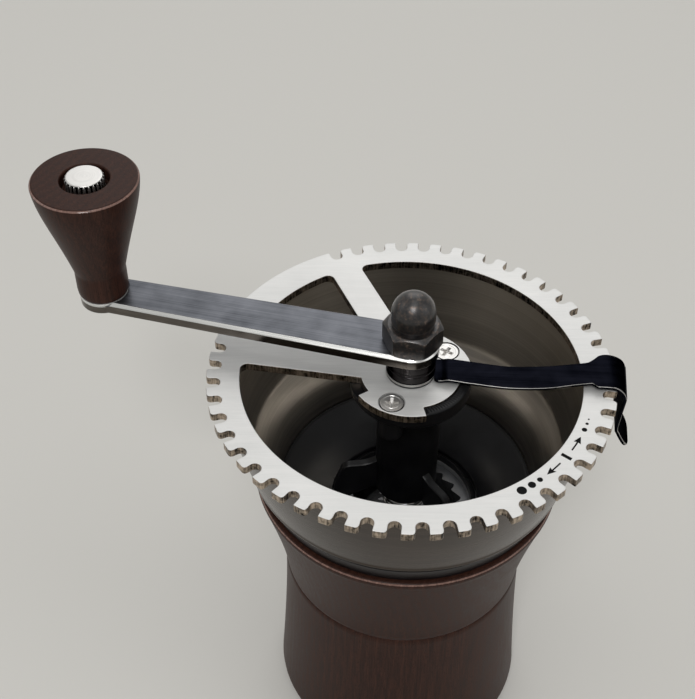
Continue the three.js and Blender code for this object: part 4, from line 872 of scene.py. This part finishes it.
# Hub column
hub = {
    "head": 18.5,
    "headBase": 144,
    "foot": 99,
    "bushFloor": 125,
    "bushBore": 7.3,
    "shaftBore": 5.6,
    "bearingBore": 7.4,
    "bearingTop": 108,
    "ribAngle": -54,
    "ribWidth": 2.6,
    "ribMiddle": (15.8, 101),
    "rib": (
        (8.6, 112), (13, 110, 3), (20.6, 110, 2), (23.7, 101, 1),
        (23.7, 88.5, 0.5), (21.9, 88.5, 0.5), (20.9, 94, 1.5), (8.6, 100),
    ),
    "footRing": (22.2, 24.2),
    "boss": (3.6, 137, 145),  # radius, base and top
    "pilot": (2.2, 138, 149),
    "arcInner": 15.6,
    "arcSwing": 38.4,
    "arcRibs": 26,
    "arcGroove": 0.36,
}
column, shaftBore, bearing = radius["column"], hub["shaftBore"], hub["bearingBore"]
hubColumn = turned(
    "hub_column",
    [
        (bearing, hub["foot"], 0.2), (column, hub["foot"], 0.4), (column, hub["headBase"] - 5, 2.2),
        (column + 3, hub["headBase"], 1.5), (hub["head"] - 0.6, hub["headBase"], 0.3),
        (hub["head"], hub["headBase"] + 0.7, 0.4), (hub["head"], level["wheelBase"], 0.35),
        (hub["bushBore"], level["wheelBase"], 0.2), (hub["bushBore"], hub["bushFloor"]),
        (shaftBore, hub["bushFloor"] - 1.5), (shaftBore, hub["bearingTop"]),
        (bearing, hub["bearingTop"]),
    ],
    finish=mouldedAcetal,
)
ribOutline, ribRings = softened(hub["rib"]), []
half, (middleX, middleZ) = hub["ribWidth"] / 2, hub["ribMiddle"]
for y, inset in ((-half, 0.3), (-half + 0.3, 0), (half - 0.3, 0), (half, 0.3)):
    steps = [Vector((middleX - x, middleZ - z)).normalized() * inset for x, z in ribOutline]
    ribRings.append([(x + step.x, y, z + step.y) for (x, z), step in zip(ribOutline, steps)])
parts = [
    lofted("rib", ribRings, turn=hub["ribAngle"] + 120 * k, finish=mouldedAcetal) for k in range(3)
]
(inner, outer), low = hub["footRing"], level["throatBase"]
profile = [(inner, low, 0.2), (outer, low, 0.2), (outer, low + 1.6, 0.4), (inner, low + 3, 0.4)]
parts.append(turned("ring", profile, finish=mouldedAcetal))
size, low, high = hub["boss"]
profile = [(0, low), (size, low, 0.4), (size, high), (0, high)]
parts += [turned("boss", profile, 48, at=spot, finish=mouldedAcetal) for spot in screwSpots]
combined(hubColumn, parts, "UNION")
pilots = [rod("pilot", *hub["pilot"], 48, at=spot, finish=mouldedAcetal) for spot in screwSpots]
combined(hubColumn, pilots)
fitted(hubColumn, "mill", "black_plastic", "hub_column")


# The black arc that fills the hub's wide cut-out, ribbed across so that a thumb can read it
def scaleArc():
    low, top = level["wheelBase"] - 1.5, level["wheelTop"] - 0.1
    inner, outer = hub["arcInner"], hub["head"]
    section = softened(
        [
            (inner, low), (outer, low), (outer, top - 0.5, 0.2),
            (outer - 0.35, top, 0.25), (inner + 0.1, top, 0.2),
        ],
        3,
    )
    swing, steps = hub["arcSwing"], 8 * hub["arcRibs"]
    rings = []
    for k in range(steps + 1):
        angle = turnOf["mark"] + swing - 2 * swing * k / steps
        edge = min(1, min(k, steps - k) / 4)
        groove = hub["arcGroove"] * (0.5 - 0.5 * math.cos(2 * math.pi * k / 8))
        fall = 0.25 * (1 - edge)  # the two ends are eased
        ring = []
        for r, z in section:
            ribbed = z > top - 0.3 and inner + 0.3 < r < outer - 0.7
            drop = groove + fall if ribbed else (fall if z > top - 0.6 else 0)
            ring.append((*polar(r, angle), z - drop))
        rings.append(ring)
    return lofted("scale_arc", rings, sharp=50, finish=mouldedAcetal)


fitted(scaleArc(), "mill", "black_plastic")
print("hub made:", len(hubColumn.data.polygons), "faces")

# Bush, clamp, bearing and washers on the shaft
bush = {"base": 128, "pitch": 0.75, "thread": 0.35}


def threaded(r, z, angle):  # a trapezoid thread round the bush's lower length
    if r < radius["bush"] - 0.05 or not bush["base"] + 0.8 < z < level["eyeBase"] - 1.4:
        return r, z
    wave = (z / bush["pitch"] - angle / (2 * math.pi)) % 1
    depth = min(1, max(0, 2.2 * abs(2 * wave - 1) - 0.6))
    return r - bush["thread"] * depth, z


bore, outer, neck, top = radius["bore"], radius["bush"], radius["neck"], level["thrustBase"] - 0.4
profile = [
    (bore, bush["base"], 0.1), (outer - 0.6, bush["base"], 0.1),
    *alongCurve(lambda z: outer, bush["base"] + 0.6, level["eyeBase"] - 1.2, 200),
    (outer, level["eyeBase"], 0.1), (neck, level["eyeBase"]), (neck, top, 0.2), (bore, top, 0.1),
]
bushPiece = turned(
    "adjusting_bush", profile, 72, threaded, turn=turnOf["selector"], finish=polishedSteel
)
fitted(bushPiece, "selector", "polished_steel", "adjusting_bush")

hole, outer, low, top = neck + 0.1, radius["boss"], level["clampBase"], level["thrustBase"]
profile = [(hole, low, 0.1), (outer, low, 0.25), (outer, top, 0.35), (hole, top, 0.1)]
clampRing = turned("lever_clamp", profile, turn=turnOf["selector"], finish=blackChromeAndShade)
fitted(clampRing, "selector", "dark_chrome", "lever_clamp")

outer, low, top = radius["boss"] - 0.12, level["thrustBase"], level["bossBase"]
profile = [(bore, low, 0.1), (outer, low, 0.1), (outer, top, 0.1), (bore, top, 0.1)]
fitted(
    turned("thrust_washer", profile, finish=blackChromeAndShade), "carriage", "dark_chrome", "thrust_washer"
)

bearing = {"outside": 7.2, "collar": 9, "base": 98.2, "top": 107.7}
profile = [
    (bore, bearing["base"], 0.15), (bearing["collar"], bearing["base"], 0.25),
    (bearing["collar"], hub["foot"], 0.1), (bearing["outside"], hub["foot"]),
    (bearing["outside"], bearing["top"], 0.3), (bore, bearing["top"], 0.2),
]
fitted(turned("lower_bearing", profile, finish=sinteredBronze), "mill", "bronze", "lower_bearing")

# Selector lever: a strip that steps up from its eye, bows sideways and folds down past the teeth
lever = {
    "thick": 1.0,
    "corner": 0.34,
    "rise": 0.95,
    "head": 53,  # where the bow ends and the wide head starts
    "bow": ((0.36, -7, 2.5), (0.55, -8.2, 1.1), (0.75, -7.8, 1.6), (0.9, -6.2, 2.8), (1, -5.2, 3.8)),
    "wall": 64.9,
    "bend": 5.8,  # keeps clear of the teeth at the lowest setting
    "drop": 17,
    "lip": 27,
    "flare": 3.8,
    "half": 7.1,
    "skew": 0.08,  # the fold runs a little aslant, so the tab stands further out on its far side
}


# Stations are (distance, height, lean, near edge, far edge) along the strip's middle
def leverStations():
    eyeLevel = level["eyeBase"] + lever["thick"] / 2
    strip = eyeLevel + lever["rise"]
    eye, head, wall, half = radius["eye"], lever["head"], lever["wall"], lever["half"]
    stations = [
        (radius["neck"] + 0.9, eyeLevel, 0, -4.4, 4.4),
        (eye + 0.6, eyeLevel, 0, -5.2, 4.2),
        (eye + 2, eyeLevel + 0.3 * lever["rise"], 30, -5.4, 4),
        (eye + 3.4, strip - 0.1, 18, -5.7, 3.7),
        (eye + 4.8, strip, 0, -5.9, 3.5),
        *[(head * share, strip, 0, near, far) for share, near, far in lever["bow"]],
        (head + 1.2, strip, 0, -5.2, 4.4),
        (head + 2.6, strip, 0, -half + 0.7, 5.6),
        (head + 4.2, strip, 0, -half + 0.6, half),
    ]
    for lean in range(0, 91, 15):
        turn = math.radians(lean)
        x = wall - lever["bend"] * (1 - math.sin(turn))
        z = strip - lever["bend"] * (1 - math.cos(turn))
        stations.append((x, z, -lean, -half + 0.5, half + 0.5))
    foot, lip, flared = strip - lever["drop"], strip - lever["lip"], wall + lever["flare"]
    return [
        *stations,
        (wall - 0.8, foot, -93, -half + 0.6, half + 0.3),
        (wall, foot - 3, -66, -half + 0.7, half),
        (flared - 1.8, lip + 3, -60, -half + 1, half - 0.5),
        (flared - 0.5, lip + 0.8, -60, -half + 2, half - 1.5),
        (flared, lip, -60, -half + 4, half - 3.5),
    ]


def between(a, b, c, d, t):  # Catmull-Rom curve from b to c
    square, cube = 2 * a - 5 * b + 4 * c - d, 3 * b - a - 3 * c + d
    return 0.5 * (2 * b + (c - a) * t + square * t**2 + cube * t**3)


def betweenStations(stations, steps):
    padded = [stations[0], *stations, stations[-1]]
    out = []
    for around in zip(padded, padded[1:], padded[2:], padded[3:]):
        for k in range(steps):
            out.append([between(*side, k / steps) for side in zip(*around)])
    return out + [stations[-1]]


def stripRings(stations):
    half, corner = lever["thick"] / 2, lever["corner"]
    rings = []
    for x, z, lean, near, far in stations:
        corners = ((near, -half), (far, -half), (far, half), (near, half))
        turn = math.radians(lean)
        skew = lever["skew"] * min(1, max(0, -lean / 45))
        ring = []
        for y, side in softened([(*spot, corner) for spot in corners], 3):
            ring.append((x + skew * y - side * math.sin(turn), y, z + side * math.cos(turn)))
        rings.append(ring)
    return rings


place = {"turn": turnOf["selector"], "finish": bluedSpringSteel}
leverPiece = lofted("selector_lever", stripRings(betweenStations(leverStations(), 5)), **place)
eye, low, top = radius["eye"], level["eyeBase"], level["clampBase"]
eyeDisc = turned("eye", [(0, low), (eye, low, 0.25), (eye, top, 0.25), (0, top)], **place)
combined(leverPiece, [eyeDisc], "UNION")
hole = radius["neck"] + 0.1
combined(leverPiece, [rod("eye_hole", hole, low - 1.6, top + 6.4, finish=bluedSpringSteel)])
eyeEnd = 8.2  # where the round eye ends and the strip's own sides start
# The eye's outer rim and the strip's upper corner get the painted highlight
refinished(
    leverPiece, paintedHighlightSpringEdge, lambda at, normal: at.x < eyeEnd and at.xy.dot(normal.xy) > 5
)
refinished(
    leverPiece,
    paintedHighlightSpringEdge,
    lambda at, normal: at.x > eyeEnd and 0.2 < abs(normal.y) < 0.96 and normal.x + normal.z > 0,
)
fitted(leverPiece, "selector", "spring_steel", "selector_lever")

tongue = {"gap": 0.25, "nose": 58.7, "half": 1.5, "edge": 0.3, "levels": 8}


# The tongue's outer face follows the inside of the lever's fold, a hair clear of it
def tongueFace(z):
    foldX = lever["wall"] - lever["bend"]
    foldZ = level["clampBase"] - lever["thick"] / 2 + lever["rise"] - lever["bend"]
    inside = lever["bend"] - lever["thick"] / 2 - tongue["gap"]
    return foldX + math.sqrt(inside**2 - max(0, z - foldZ) ** 2)


tongueRings = []
low, high = level["wheelBase"] + 0.2, level["wheelTop"] - 0.1
for k in range(tongue["levels"] + 1):
    z = low + (high - low) * k / tongue["levels"]
    inset = tongue["edge"] if k in (0, tongue["levels"]) else 0
    half, face = tongue["half"] - inset, tongueFace(z) - inset
    nose = arcPoints((tongue["nose"] + tongue["half"], 0), half, 90, 270, 16)
    tongueRings.append([(x, y, z) for x, y in [(face, -half), (face, half), *nose]])
fitted(lofted("detent_tongue", tongueRings, **place), "selector", "spring_steel", "detent_tongue")
print("selector made")

# Shaft
shaft = {"flat": 4.1, "flatBore": 4.3, "base": 60.5, "top": 175.8, "lowerStep": 89.1, "upperStep": 155}


def flatSided(r, angle, half):  # two flats, half the given width from the axis
    return min(r, half / max(abs(math.sin(angle)), 1e-6))


def flatted(r, z, angle):  # two flats at each end of the shaft
    if r < 1 or shaft["lowerStep"] < z < shaft["upperStep"]:
        return r, z
    return flatSided(r, angle, shaft["flat"]), z


outer, lower, upper = radius["shaft"], shaft["lowerStep"], shaft["upperStep"]
profile = [
    (0, shaft["base"]), (outer, shaft["base"], 0.6), (outer, lower - 0.01), (outer, lower + 0.04),
    (outer, upper - 0.04), (outer, upper + 0.01), (outer, shaft["top"], 0.6), (0, shaft["top"]),
]
shaftPiece = turned(
    "drive_shaft", profile, 144, flatted, turn=turnOf["rotor"], finish=polishedSteel
)
fitted(shaftPiece, "rotor", "polished_steel", "drive_shaft")

# Crank arm
arm = {"hub": 8.2, "end": 6.7, "bevel": 0.95, "pad": 7.5, "spot": 8, "flankSteps": 24}


def armOutline(inset):
    hubSide, endSide = arm["hub"] - inset, arm["end"] - inset
    swing = math.degrees(math.acos((hubSide - endSide) / reach))
    near = arcPoints((0, 0), hubSide, swing, 360 - swing, 48)
    far = arcPoints((reach, 0), endSide, -swing, swing, 40)
    flanks = []
    for (ax, ay), (bx, by) in ((near[-1], far[0]), (far[-1], near[0])):
        shares = [k / arm["flankSteps"] for k in range(1, arm["flankSteps"])]
        flanks.append([(ax + (bx - ax) * t, ay + (by - ay) * t) for t in shares])
    return near + flanks[0] + far + flanks[1]


low, top, bevel = level["armBase"], level["armTop"], arm["bevel"]
armLevels = softened(  # (inset, height); the last two only steer the corners and are left out
    [(0.5, low, 0.1), (0, low + 0.5, 0.1), (0, top - bevel, 0.12), (bevel, top, 0.12), (6, top), (6, low)],
    2,
)[:-2]
armPiece = lofted(
    "crank_arm",
    [[(x, y, z) for x, y in armOutline(inset)] for inset, z in armLevels],
    turn=turnOf["rotor"],
    finish=groundStainless,
)
outer = radius["boss"]
profile = [(0, level["bossBase"]), (outer, level["bossBase"], 0.3), (outer, low + 0.7), (0, low + 0.7)]
bossPiece = turned("boss", profile, finish=blackChromeAndShade)
knobSpot = polar(reach, turnOf["rotor"])
place = {"at": knobSpot, "finish": groundStainless}
below, above = level["armBase"] - 8.2, level["armTop"] + 7.6  # clear of the arm on both sides
base, top = low + 0.02, level["spotFace"] - 0.02
padPiece = turned("pad", [(0, base), (arm["pad"], base, 0.5), (arm["pad"], top, 0.5), (0, top)], **place)
combined(armPiece, [bossPiece, padPiece], "UNION")
cutters = [
    rod("spot", arm["spot"], level["spotFace"], above, 128, **place),
    rod("pin", radius["pinHole"], below, above, **place),
    rod(
        "socket", radius["bore"], below, above,
        shaped=lambda r, z, angle: (flatSided(r, angle, shaft["flatBore"]), z),
        turn=turnOf["rotor"], finish=groundStainless,
    ),
]
combined(armPiece, cutters, sharp=24)
trued(armPiece)
# The upright sides get the buffed steel with its tone painted dark as shade
refinished(armPiece, shadedBuffedArmSide, lambda at, normal: at.z > low + 0.1 and abs(normal.z) < 0.3)
# The bevel's upward faces get the painted highlight
refinished(
    armPiece,
    paintedHighlightBevel,
    lambda at, normal: at.z > level["spotFace"] - 0.65 and 0.2 < normal.z < 0.95,
)
fitted(armPiece, "rotor", "arm_steel", "crank_arm")
print("crank arm made:", len(armPiece.data.polygons), "faces")

# Domed nut
nut = {
    "half": 8, "turn": -70, "height": 7.5, "dome": 6.6, "centre": 174.1, "dent": 0.06, "boreTop": 176.3
}
hexBase, hexTop = level["armTop"], level["armTop"] + nut["height"]
corner = nut["half"] / math.cos(math.radians(30))
hexOutline = softened([(*polar(corner, nut["turn"] + 60 * k), 0.5) for k in range(6)])
domeNut = plate("dome_nut", [hexOutline], hexBase, hexTop, finish=blackOxide)
profile = [
    (0, hexBase - 0.01), (nut["half"] - 0.1, hexBase - 0.01, 0.2), (corner + 0.1, hexBase + 1),
    (corner + 0.1, hexTop - 1.3), (nut["half"] - 0.5, hexTop + 0.01, 0.3), (0, hexTop + 0.01),
]
combined(domeNut, [turned("chamfer", profile, 192, finish=blackOxide)], "INTERSECT")
edged(domeNut, 0.5, 45)


def dented(r, z, angle):  # shallow hammer dimples
    if r < 0.5:
        return r, z
    spot = Vector((r * math.cos(angle), r * math.sin(angle), z)) * 0.55
    return r - nut["dent"] * (0.5 + 0.5 * noise.noise(spot)), z


dome = nut["dome"]
profile = [
    (0, hexTop - 0.5), (dome - 0.3, hexTop - 0.5), (dome - 0.3, hexTop + 0.6, 0.4),
    (dome, hexTop + 1.4, 0.6), *arcPoints((0, nut["centre"]), dome, 0, 88, 22),
    (0, nut["centre"] + dome),
]
combined(domeNut, [turned("dome", profile, shaped=dented, finish=blackOxide)], "UNION")
nutBore = rod("bore", radius["bore"], hexBase - 1, nut["boreTop"], finish=blackOxide)
combined(domeNut, [nutBore], sharp=24)
# The chamfer's upward faces get the painted highlight
refinished(
    domeNut,
    paintedHighlightNutEdge,
    lambda at, normal: at.xy.length > nut["half"] - 0.8
    and at.z > hexTop - 2.2
    and 0.05 < normal.z < 0.78,
)
fitted(domeNut, "rotor", "black_oxide", "dome_nut")

# Knob
knob = {"top": 15.9, "waist": 7.9, "shank": 9.5, "shoulder": 0.7, "edge": 0.6, "recess": 7.25, "depth": 4}
base, top, crown = level["knobBase"], level["knobTop"], level["knobTop"] - knob["edge"]


def knobRadius(z):
    flareFrom = base + knob["shank"]
    share = max(0, (z - flareFrom) / (crown - flareFrom))
    swell = share + knob["shoulder"] * share**3 * (1 - share)
    return knob["waist"] + (knob["top"] - knob["waist"]) * swell


knobPiece = turned(
    "knob",
    [
        (radius["pinHole"], base), (knob["waist"] - 0.7, base, 0.2),
        (knob["waist"] - 0.15, base + 0.8, 0.5),
        *alongCurve(knobRadius, base + 2.5, crown - 0.4, 44),
        (knob["top"], crown + 0.1, 0.5), (knob["top"] - knob["edge"], top, 0.5),
        (knob["recess"] + 0.3, top, 0.3), (knob["recess"], top - 0.4, 0.3),
        (knob["recess"], top - knob["depth"], 0.4), (radius["pinHole"], top - knob["depth"]),
    ],
    160,
    at=knobSpot,
    finish=oiledDarkWood,
)
# The crown's rounded edge gets the painted highlight
refinished(
    knobPiece,
    paintedHighlightWoodEdge,
    lambda at, normal: at.xy.length > knob["top"] - knob["edge"] and 0.3 < normal.z < 0.9,
)
fitted(knobPiece, "grip", "dark_wood", "knob")

knobScrew = {"head": 5.8, "shank": 3, "seat": 200.2, "top": 204.9, "knurls": 24, "bite": 0.8}


def knurled(r, z, angle):  # a coarse coin edge of pointed teeth
    if r < knobScrew["head"] - 0.3 or z < knobScrew["seat"] + 0.3:
        return r, z
    share = (knobScrew["knurls"] * angle / (2 * math.pi)) % 1
    return r - knobScrew["bite"] * abs(2 * share - 1), z


def shadedRoots(at, normal):  # the knurl's roots are painted dark as shade
    inside = at.xy.length < knobScrew["head"] - 0.3 * knobScrew["bite"]
    return inside and at.z > knobScrew["seat"] and abs(normal.z) < 0.5


head, shank, seat, top = [knobScrew[k] for k in ("head", "shank", "seat", "top")]
profile = [
    (0, level["armBase"]), (shank, level["armBase"], 0.3), (shank, seat), (head, seat, 0.2),
    (head, top - 0.6, 0.2), (head - 0.6, top, 0.2), (0, top),
]
place = {"at": knobSpot, "turn": turnOf["rotor"]}
screwPiece = turned("knob_screw", profile, 336, knurled, finish=facedScrewSteel, **place)
refinished(screwPiece, blackChromeAndShade, shadedRoots)
fitted(screwPiece, "rotor", "screw_steel", "knob_screw")

hole, outer, low, top = radius["pinHole"], knob["waist"] - 0.4, level["spotFace"], level["knobBase"]
profile = [(hole, low, 0.05), (outer, low, 0.15), (outer, top, 0.15), (hole, top, 0.05)]
washerPiece = turned("knob_washer", profile, finish=brushedStainless, **place)
fitted(washerPiece, "rotor", "brushed_steel", "knob_washer")
print("knob made")

# Burrs; a pair is the value at the base and its growth to the top
burr = {
    "teeth": 20,
    "twist": 22,
    "levels": 18,
    "outside": 24,
    "top": 86,
    "ringTip": (19.8, -2),
    "ringDepth": (0.5, 1.4),
    "coneBase": 68.5,
    "coneTop": 88.5,
    "coneTip": (19.25, -10.25),
    "coneBend": 0.65,
    "coneDepth": (0.5, 1.9),
}
toothShape = ((0, 0), (0.05, 0), (0.16, 0.62), (0.3, 1), (0.38, 0.98), (0.62, 0.55), (0.85, 0.18))


def toothRing(z, tip, depth, turn):  # a negative depth cuts in towards the axis
    ring = []
    for tooth in range(burr["teeth"]):
        for share, cut in toothShape:
            ring.append((*polar(tip + cut * depth, turn + (tooth + share) * 360 / burr["teeth"]), z))
    return ring


# A toothed wall and a plain wall whose rings have the same angles, joined at both ends
def toothed(name, toothedRings, plainRadius, **place):
    plain = []
    for ring in (toothedRings[-1], toothedRings[0]):
        wall = []
        for x, y, z in ring:
            angle = math.atan2(y, x)
            wall.append((*polar(plainRadius(angle), math.degrees(angle)), z))
        plain.append(wall)
    return lofted(name, toothedRings + plain, roundSection=True, **place)


outerRings, innerRings = [], []
for i in range(burr["levels"] + 1):
    share = i / burr["levels"]
    start, growth = burr["ringTip"]
    shallow, deeper = burr["ringDepth"]
    z = level["burrBase"] + (burr["top"] - level["burrBase"]) * share
    tip, depth = start + growth * share, shallow + deeper * share
    outerRings.append(toothRing(z, tip, depth, burr["twist"] * share))
    start, growth = burr["coneTip"]
    shallow, deeper = burr["coneDepth"]
    z = burr["coneBase"] + (burr["coneTop"] - burr["coneBase"]) * share
    tip = start + growth * ((1 - burr["coneBend"]) * share + burr["coneBend"] * share**2)
    depth = shallow + deeper * share
    innerRings.append(toothRing(z, tip, -depth, -2 * burr["twist"] * share))
outerBurr = toothed("outer_burr", outerRings, lambda angle: burr["outside"], finish=hardenedBurrSteel)
outerBurr.data.flip_normals()
fitted(outerBurr, "mill", "burr_steel", "outer_burr")
innerBurr = toothed(
    "inner_burr",
    innerRings,
    lambda angle: flatSided(radius["bore"], angle, shaft["flatBore"]),
    turn=turnOf["rotor"],
    finish=hardenedBurrSteel,
)
fitted(innerBurr, "rotor", "burr_steel", "inner_burr")

# Housing, retainer, nut, spring and seal under the hopper
housing = {"burrSeat": 24.3, "wall": 32.3, "lip": 22.2}
retainer = {"base": 54, "bore": 21.4, "floor": 66.8}
seal = {"wire": 1.05, "centre": 33.1, "level": 60, "groove": 31.9, "grooveHalf": 1.45}
screwRing = {
    "circle": 27.3, "angles": (30, 150, 270), "hole": 1.6, "head": 2.4, "shank": 1.4,
    "base": 65.2, "top": 76, "cross": (2.9, 0.8, 0.9),
}
outer, flange, base = radius["housing"], radius["flange"], level["burrBase"]
profile = [
    (housing["burrSeat"], base, 0.2), (outer, base, 0.3), (outer, level["flange"]),
    (flange, level["flange"], 0.2), (flange, level["flangeTop"], 0.2),
    (housing["wall"], level["flangeTop"], 0.2), (housing["wall"], level["throatBase"], 0.6),
    (housing["lip"], level["throatBase"], 0.3), (housing["lip"], burr["top"], 0.2),
    (housing["burrSeat"], burr["top"]),
]
burrHousing = turned("burr_housing", profile, finish=turnedAluminium)
chute, floor = radius["chute"], retainer["floor"]
low, high = seal["level"] - seal["grooveHalf"], seal["level"] + seal["grooveHalf"]
profile = [
    (chute, retainer["base"], 0.4), (outer, retainer["base"], 0.6), (outer, low, 0.15),
    (seal["groove"], low, 0.3), (seal["groove"], high, 0.3), (outer, high, 0.15), (outer, base, 0.1),
    (retainer["bore"], base, 0.2), (retainer["bore"], floor, 0.5), (chute, floor, 0.6),
]
burrRetainer = turned("burr_retainer", profile, finish=turnedAluminium)
ringSpots = [polar(screwRing["circle"], angle) for angle in screwRing["angles"]]
for piece, low, high, node in (
    (burrHousing, base - 1, base + 7, "burr_housing"),
    (burrRetainer, floor - 0.8, base + 1, "burr_retainer"),
):
    drill = {"finish": turnedAluminium, "segments": 40}
    combined(piece, [rod("drill", screwRing["hole"], low, high, at=spot, **drill) for spot in ringSpots])
    fitted(piece, "mill", "cast_aluminium", node)

head, shank, low, top = [screwRing[k] for k in ("head", "shank", "base", "top")]
profile = [(0, low), (head, low, 0.6), (head, floor, 0.05), (shank, floor), (shank, top, 0.3), (0, top)]
for i, angle in enumerate(screwRing["angles"]):
    place = {"at": ringSpots[i], "turn": angle, "finish": polishedSteel}
    screw = turned("retainer_screw_%d" % (i + 1), profile, 56, **place)
    combined(screw, [crossCutter(screwRing["cross"], low, 1, **place)])
    fitted(screw, "mill", "polished_steel", "retainer_screw_%d" % (i + 1))

section = arcPoints((seal["centre"], seal["level"]), seal["wire"], 0, 345, 23)
fitted(turned("seal_ring", section, 160, finish=nitrileRubber), "mill", "rubber", "seal_ring")

burrNut = {"top": 68.4, "height": 5, "half": 8, "face": 7.9, "chamfer": 0.7, "corner": 9.12, "steps": 144}
low, high = burrNut["top"] - burrNut["height"], burrNut["top"]
nutRings = [[], [], [], []]  # face, chamfer's curve, chamfer's curve, face
for k in range(burrNut["steps"]):
    angle, face, corner = 360 * k / burrNut["steps"], burrNut["face"], burrNut["corner"]
    side = min(burrNut["half"] / math.cos(math.radians((angle + 30) % 60 - 30)), corner)
    drop = burrNut["chamfer"] * (side - face) / (corner - face)
    curve = ((face, low), (side, low + drop), (side, high - drop), (face, high))
    for ring, (r, z) in zip(nutRings, curve):
        ring.append((*polar(r, angle), z))
place = {"turn": turnOf["rotor"], "finish": polishedSteel}
nutPiece = toothed("burr_nut", nutRings, lambda angle: radius["bore"], **place)
fitted(nutPiece, "rotor", "polished_steel", "burr_nut")

spring = {"wire": 0.55, "radius": 6.75, "turns": 4, "base": 89.35, "top": 97.35, "steps": 48, "sides": 14}
rings, steps = [], spring["steps"] * spring["turns"]
for i in range(steps + 1):
    z = spring["base"] + (spring["top"] - spring["base"]) * i / steps
    section = [polar(spring["wire"], -360 * k / spring["sides"]) for k in range(spring["sides"])]
    angle = 360 * i / spring["steps"]
    rings.append([(*polar(spring["radius"] + out, angle), z + up) for out, up in section])
springPiece = lofted("burr_spring", rings, sharp=60, finish=polishedSteel)
fitted(springPiece, "mill", "spring_steel", "burr_spring")
print("inside pieces made")

# Floor, lamps and camera
stage = {"floor": "#cdcbc6", "half": 3.0, "level": -0.0002, "world": "#f2f2f0", "glow": 0.5}
matBoard, tree, shader = started("matBoard")  # a sheet of pale card: no gloss, so soft shadows only
plugged(tree, shader, {"Base Color": linear(stage["floor"]), "Roughness": 0.9})
half = stage["half"]
corners = [(x, y, stage["level"]) for x, y in ((-half, -half), (half, -half), (half, half), (-half, half))]
floorMesh = bpy.data.meshes.new("floor")
floorMesh.from_pydata(corners, [], [(0, 1, 2, 3)])
floorMesh.materials.append(matBoard)
floorPiece = bpy.data.objects.new("floor", floorMesh)
scene.collection.objects.link(floorPiece)

world = bpy.data.worlds.new("studio")
scene.world = world
world.use_nodes = True
glow = {"Color": linear(stage["world"]), "Strength": stage["glow"]}
plugged(world.node_tree, world.node_tree.nodes["Background"], glow)

lamps = {
    "key": {"at": (-0.15, -1.05, 1.6), "size": 0.45, "power": 11.5},
    "side": {"at": (-1.3, 0.1, 1.0), "size": 1.0, "power": 1.8},
    "fill": {"at": (1.3, -0.4, 0.9), "size": 1.0, "power": 2.0},
    "back": {"at": (0.1, 1.3, 1.3), "size": 1.3, "power": 6.2},
    "top": {"at": (0.1, -0.1, 1.6), "size": 0.7, "power": 1.8},
}
for name, lamp in lamps.items():
    light = bpy.data.lights.new(name, "AREA")
    light.shape, light.size, light.energy = "SQUARE", lamp["size"], lamp["power"]
    holder = bpy.data.objects.new(name, light)
    holder.location = lamp["at"]
    aim = Vector((0, 0, 0.12)) - Vector(lamp["at"])
    holder.rotation_euler = aim.to_track_quat("-Z", "Y").to_euler()
    scene.collection.objects.link(holder)

view = {"lens": 63.59, "at": (-19.203, -265.925, 413.922), "down": 43.77}
eyeData = bpy.data.cameras.new("camera")
eyeData.lens, eyeData.sensor_width = view["lens"], 36
eyeData.clip_start, eyeData.clip_end = 0.01, 20
camera = bpy.data.objects.new("camera", eyeData)
camera.location = [side * mm for side in view["at"]]
camera.rotation_euler = (math.radians(90 - view["down"]), 0, 0)
scene.collection.objects.link(camera)
scene.camera = camera
scene.view_settings.view_transform = "Standard"
print("stage made")
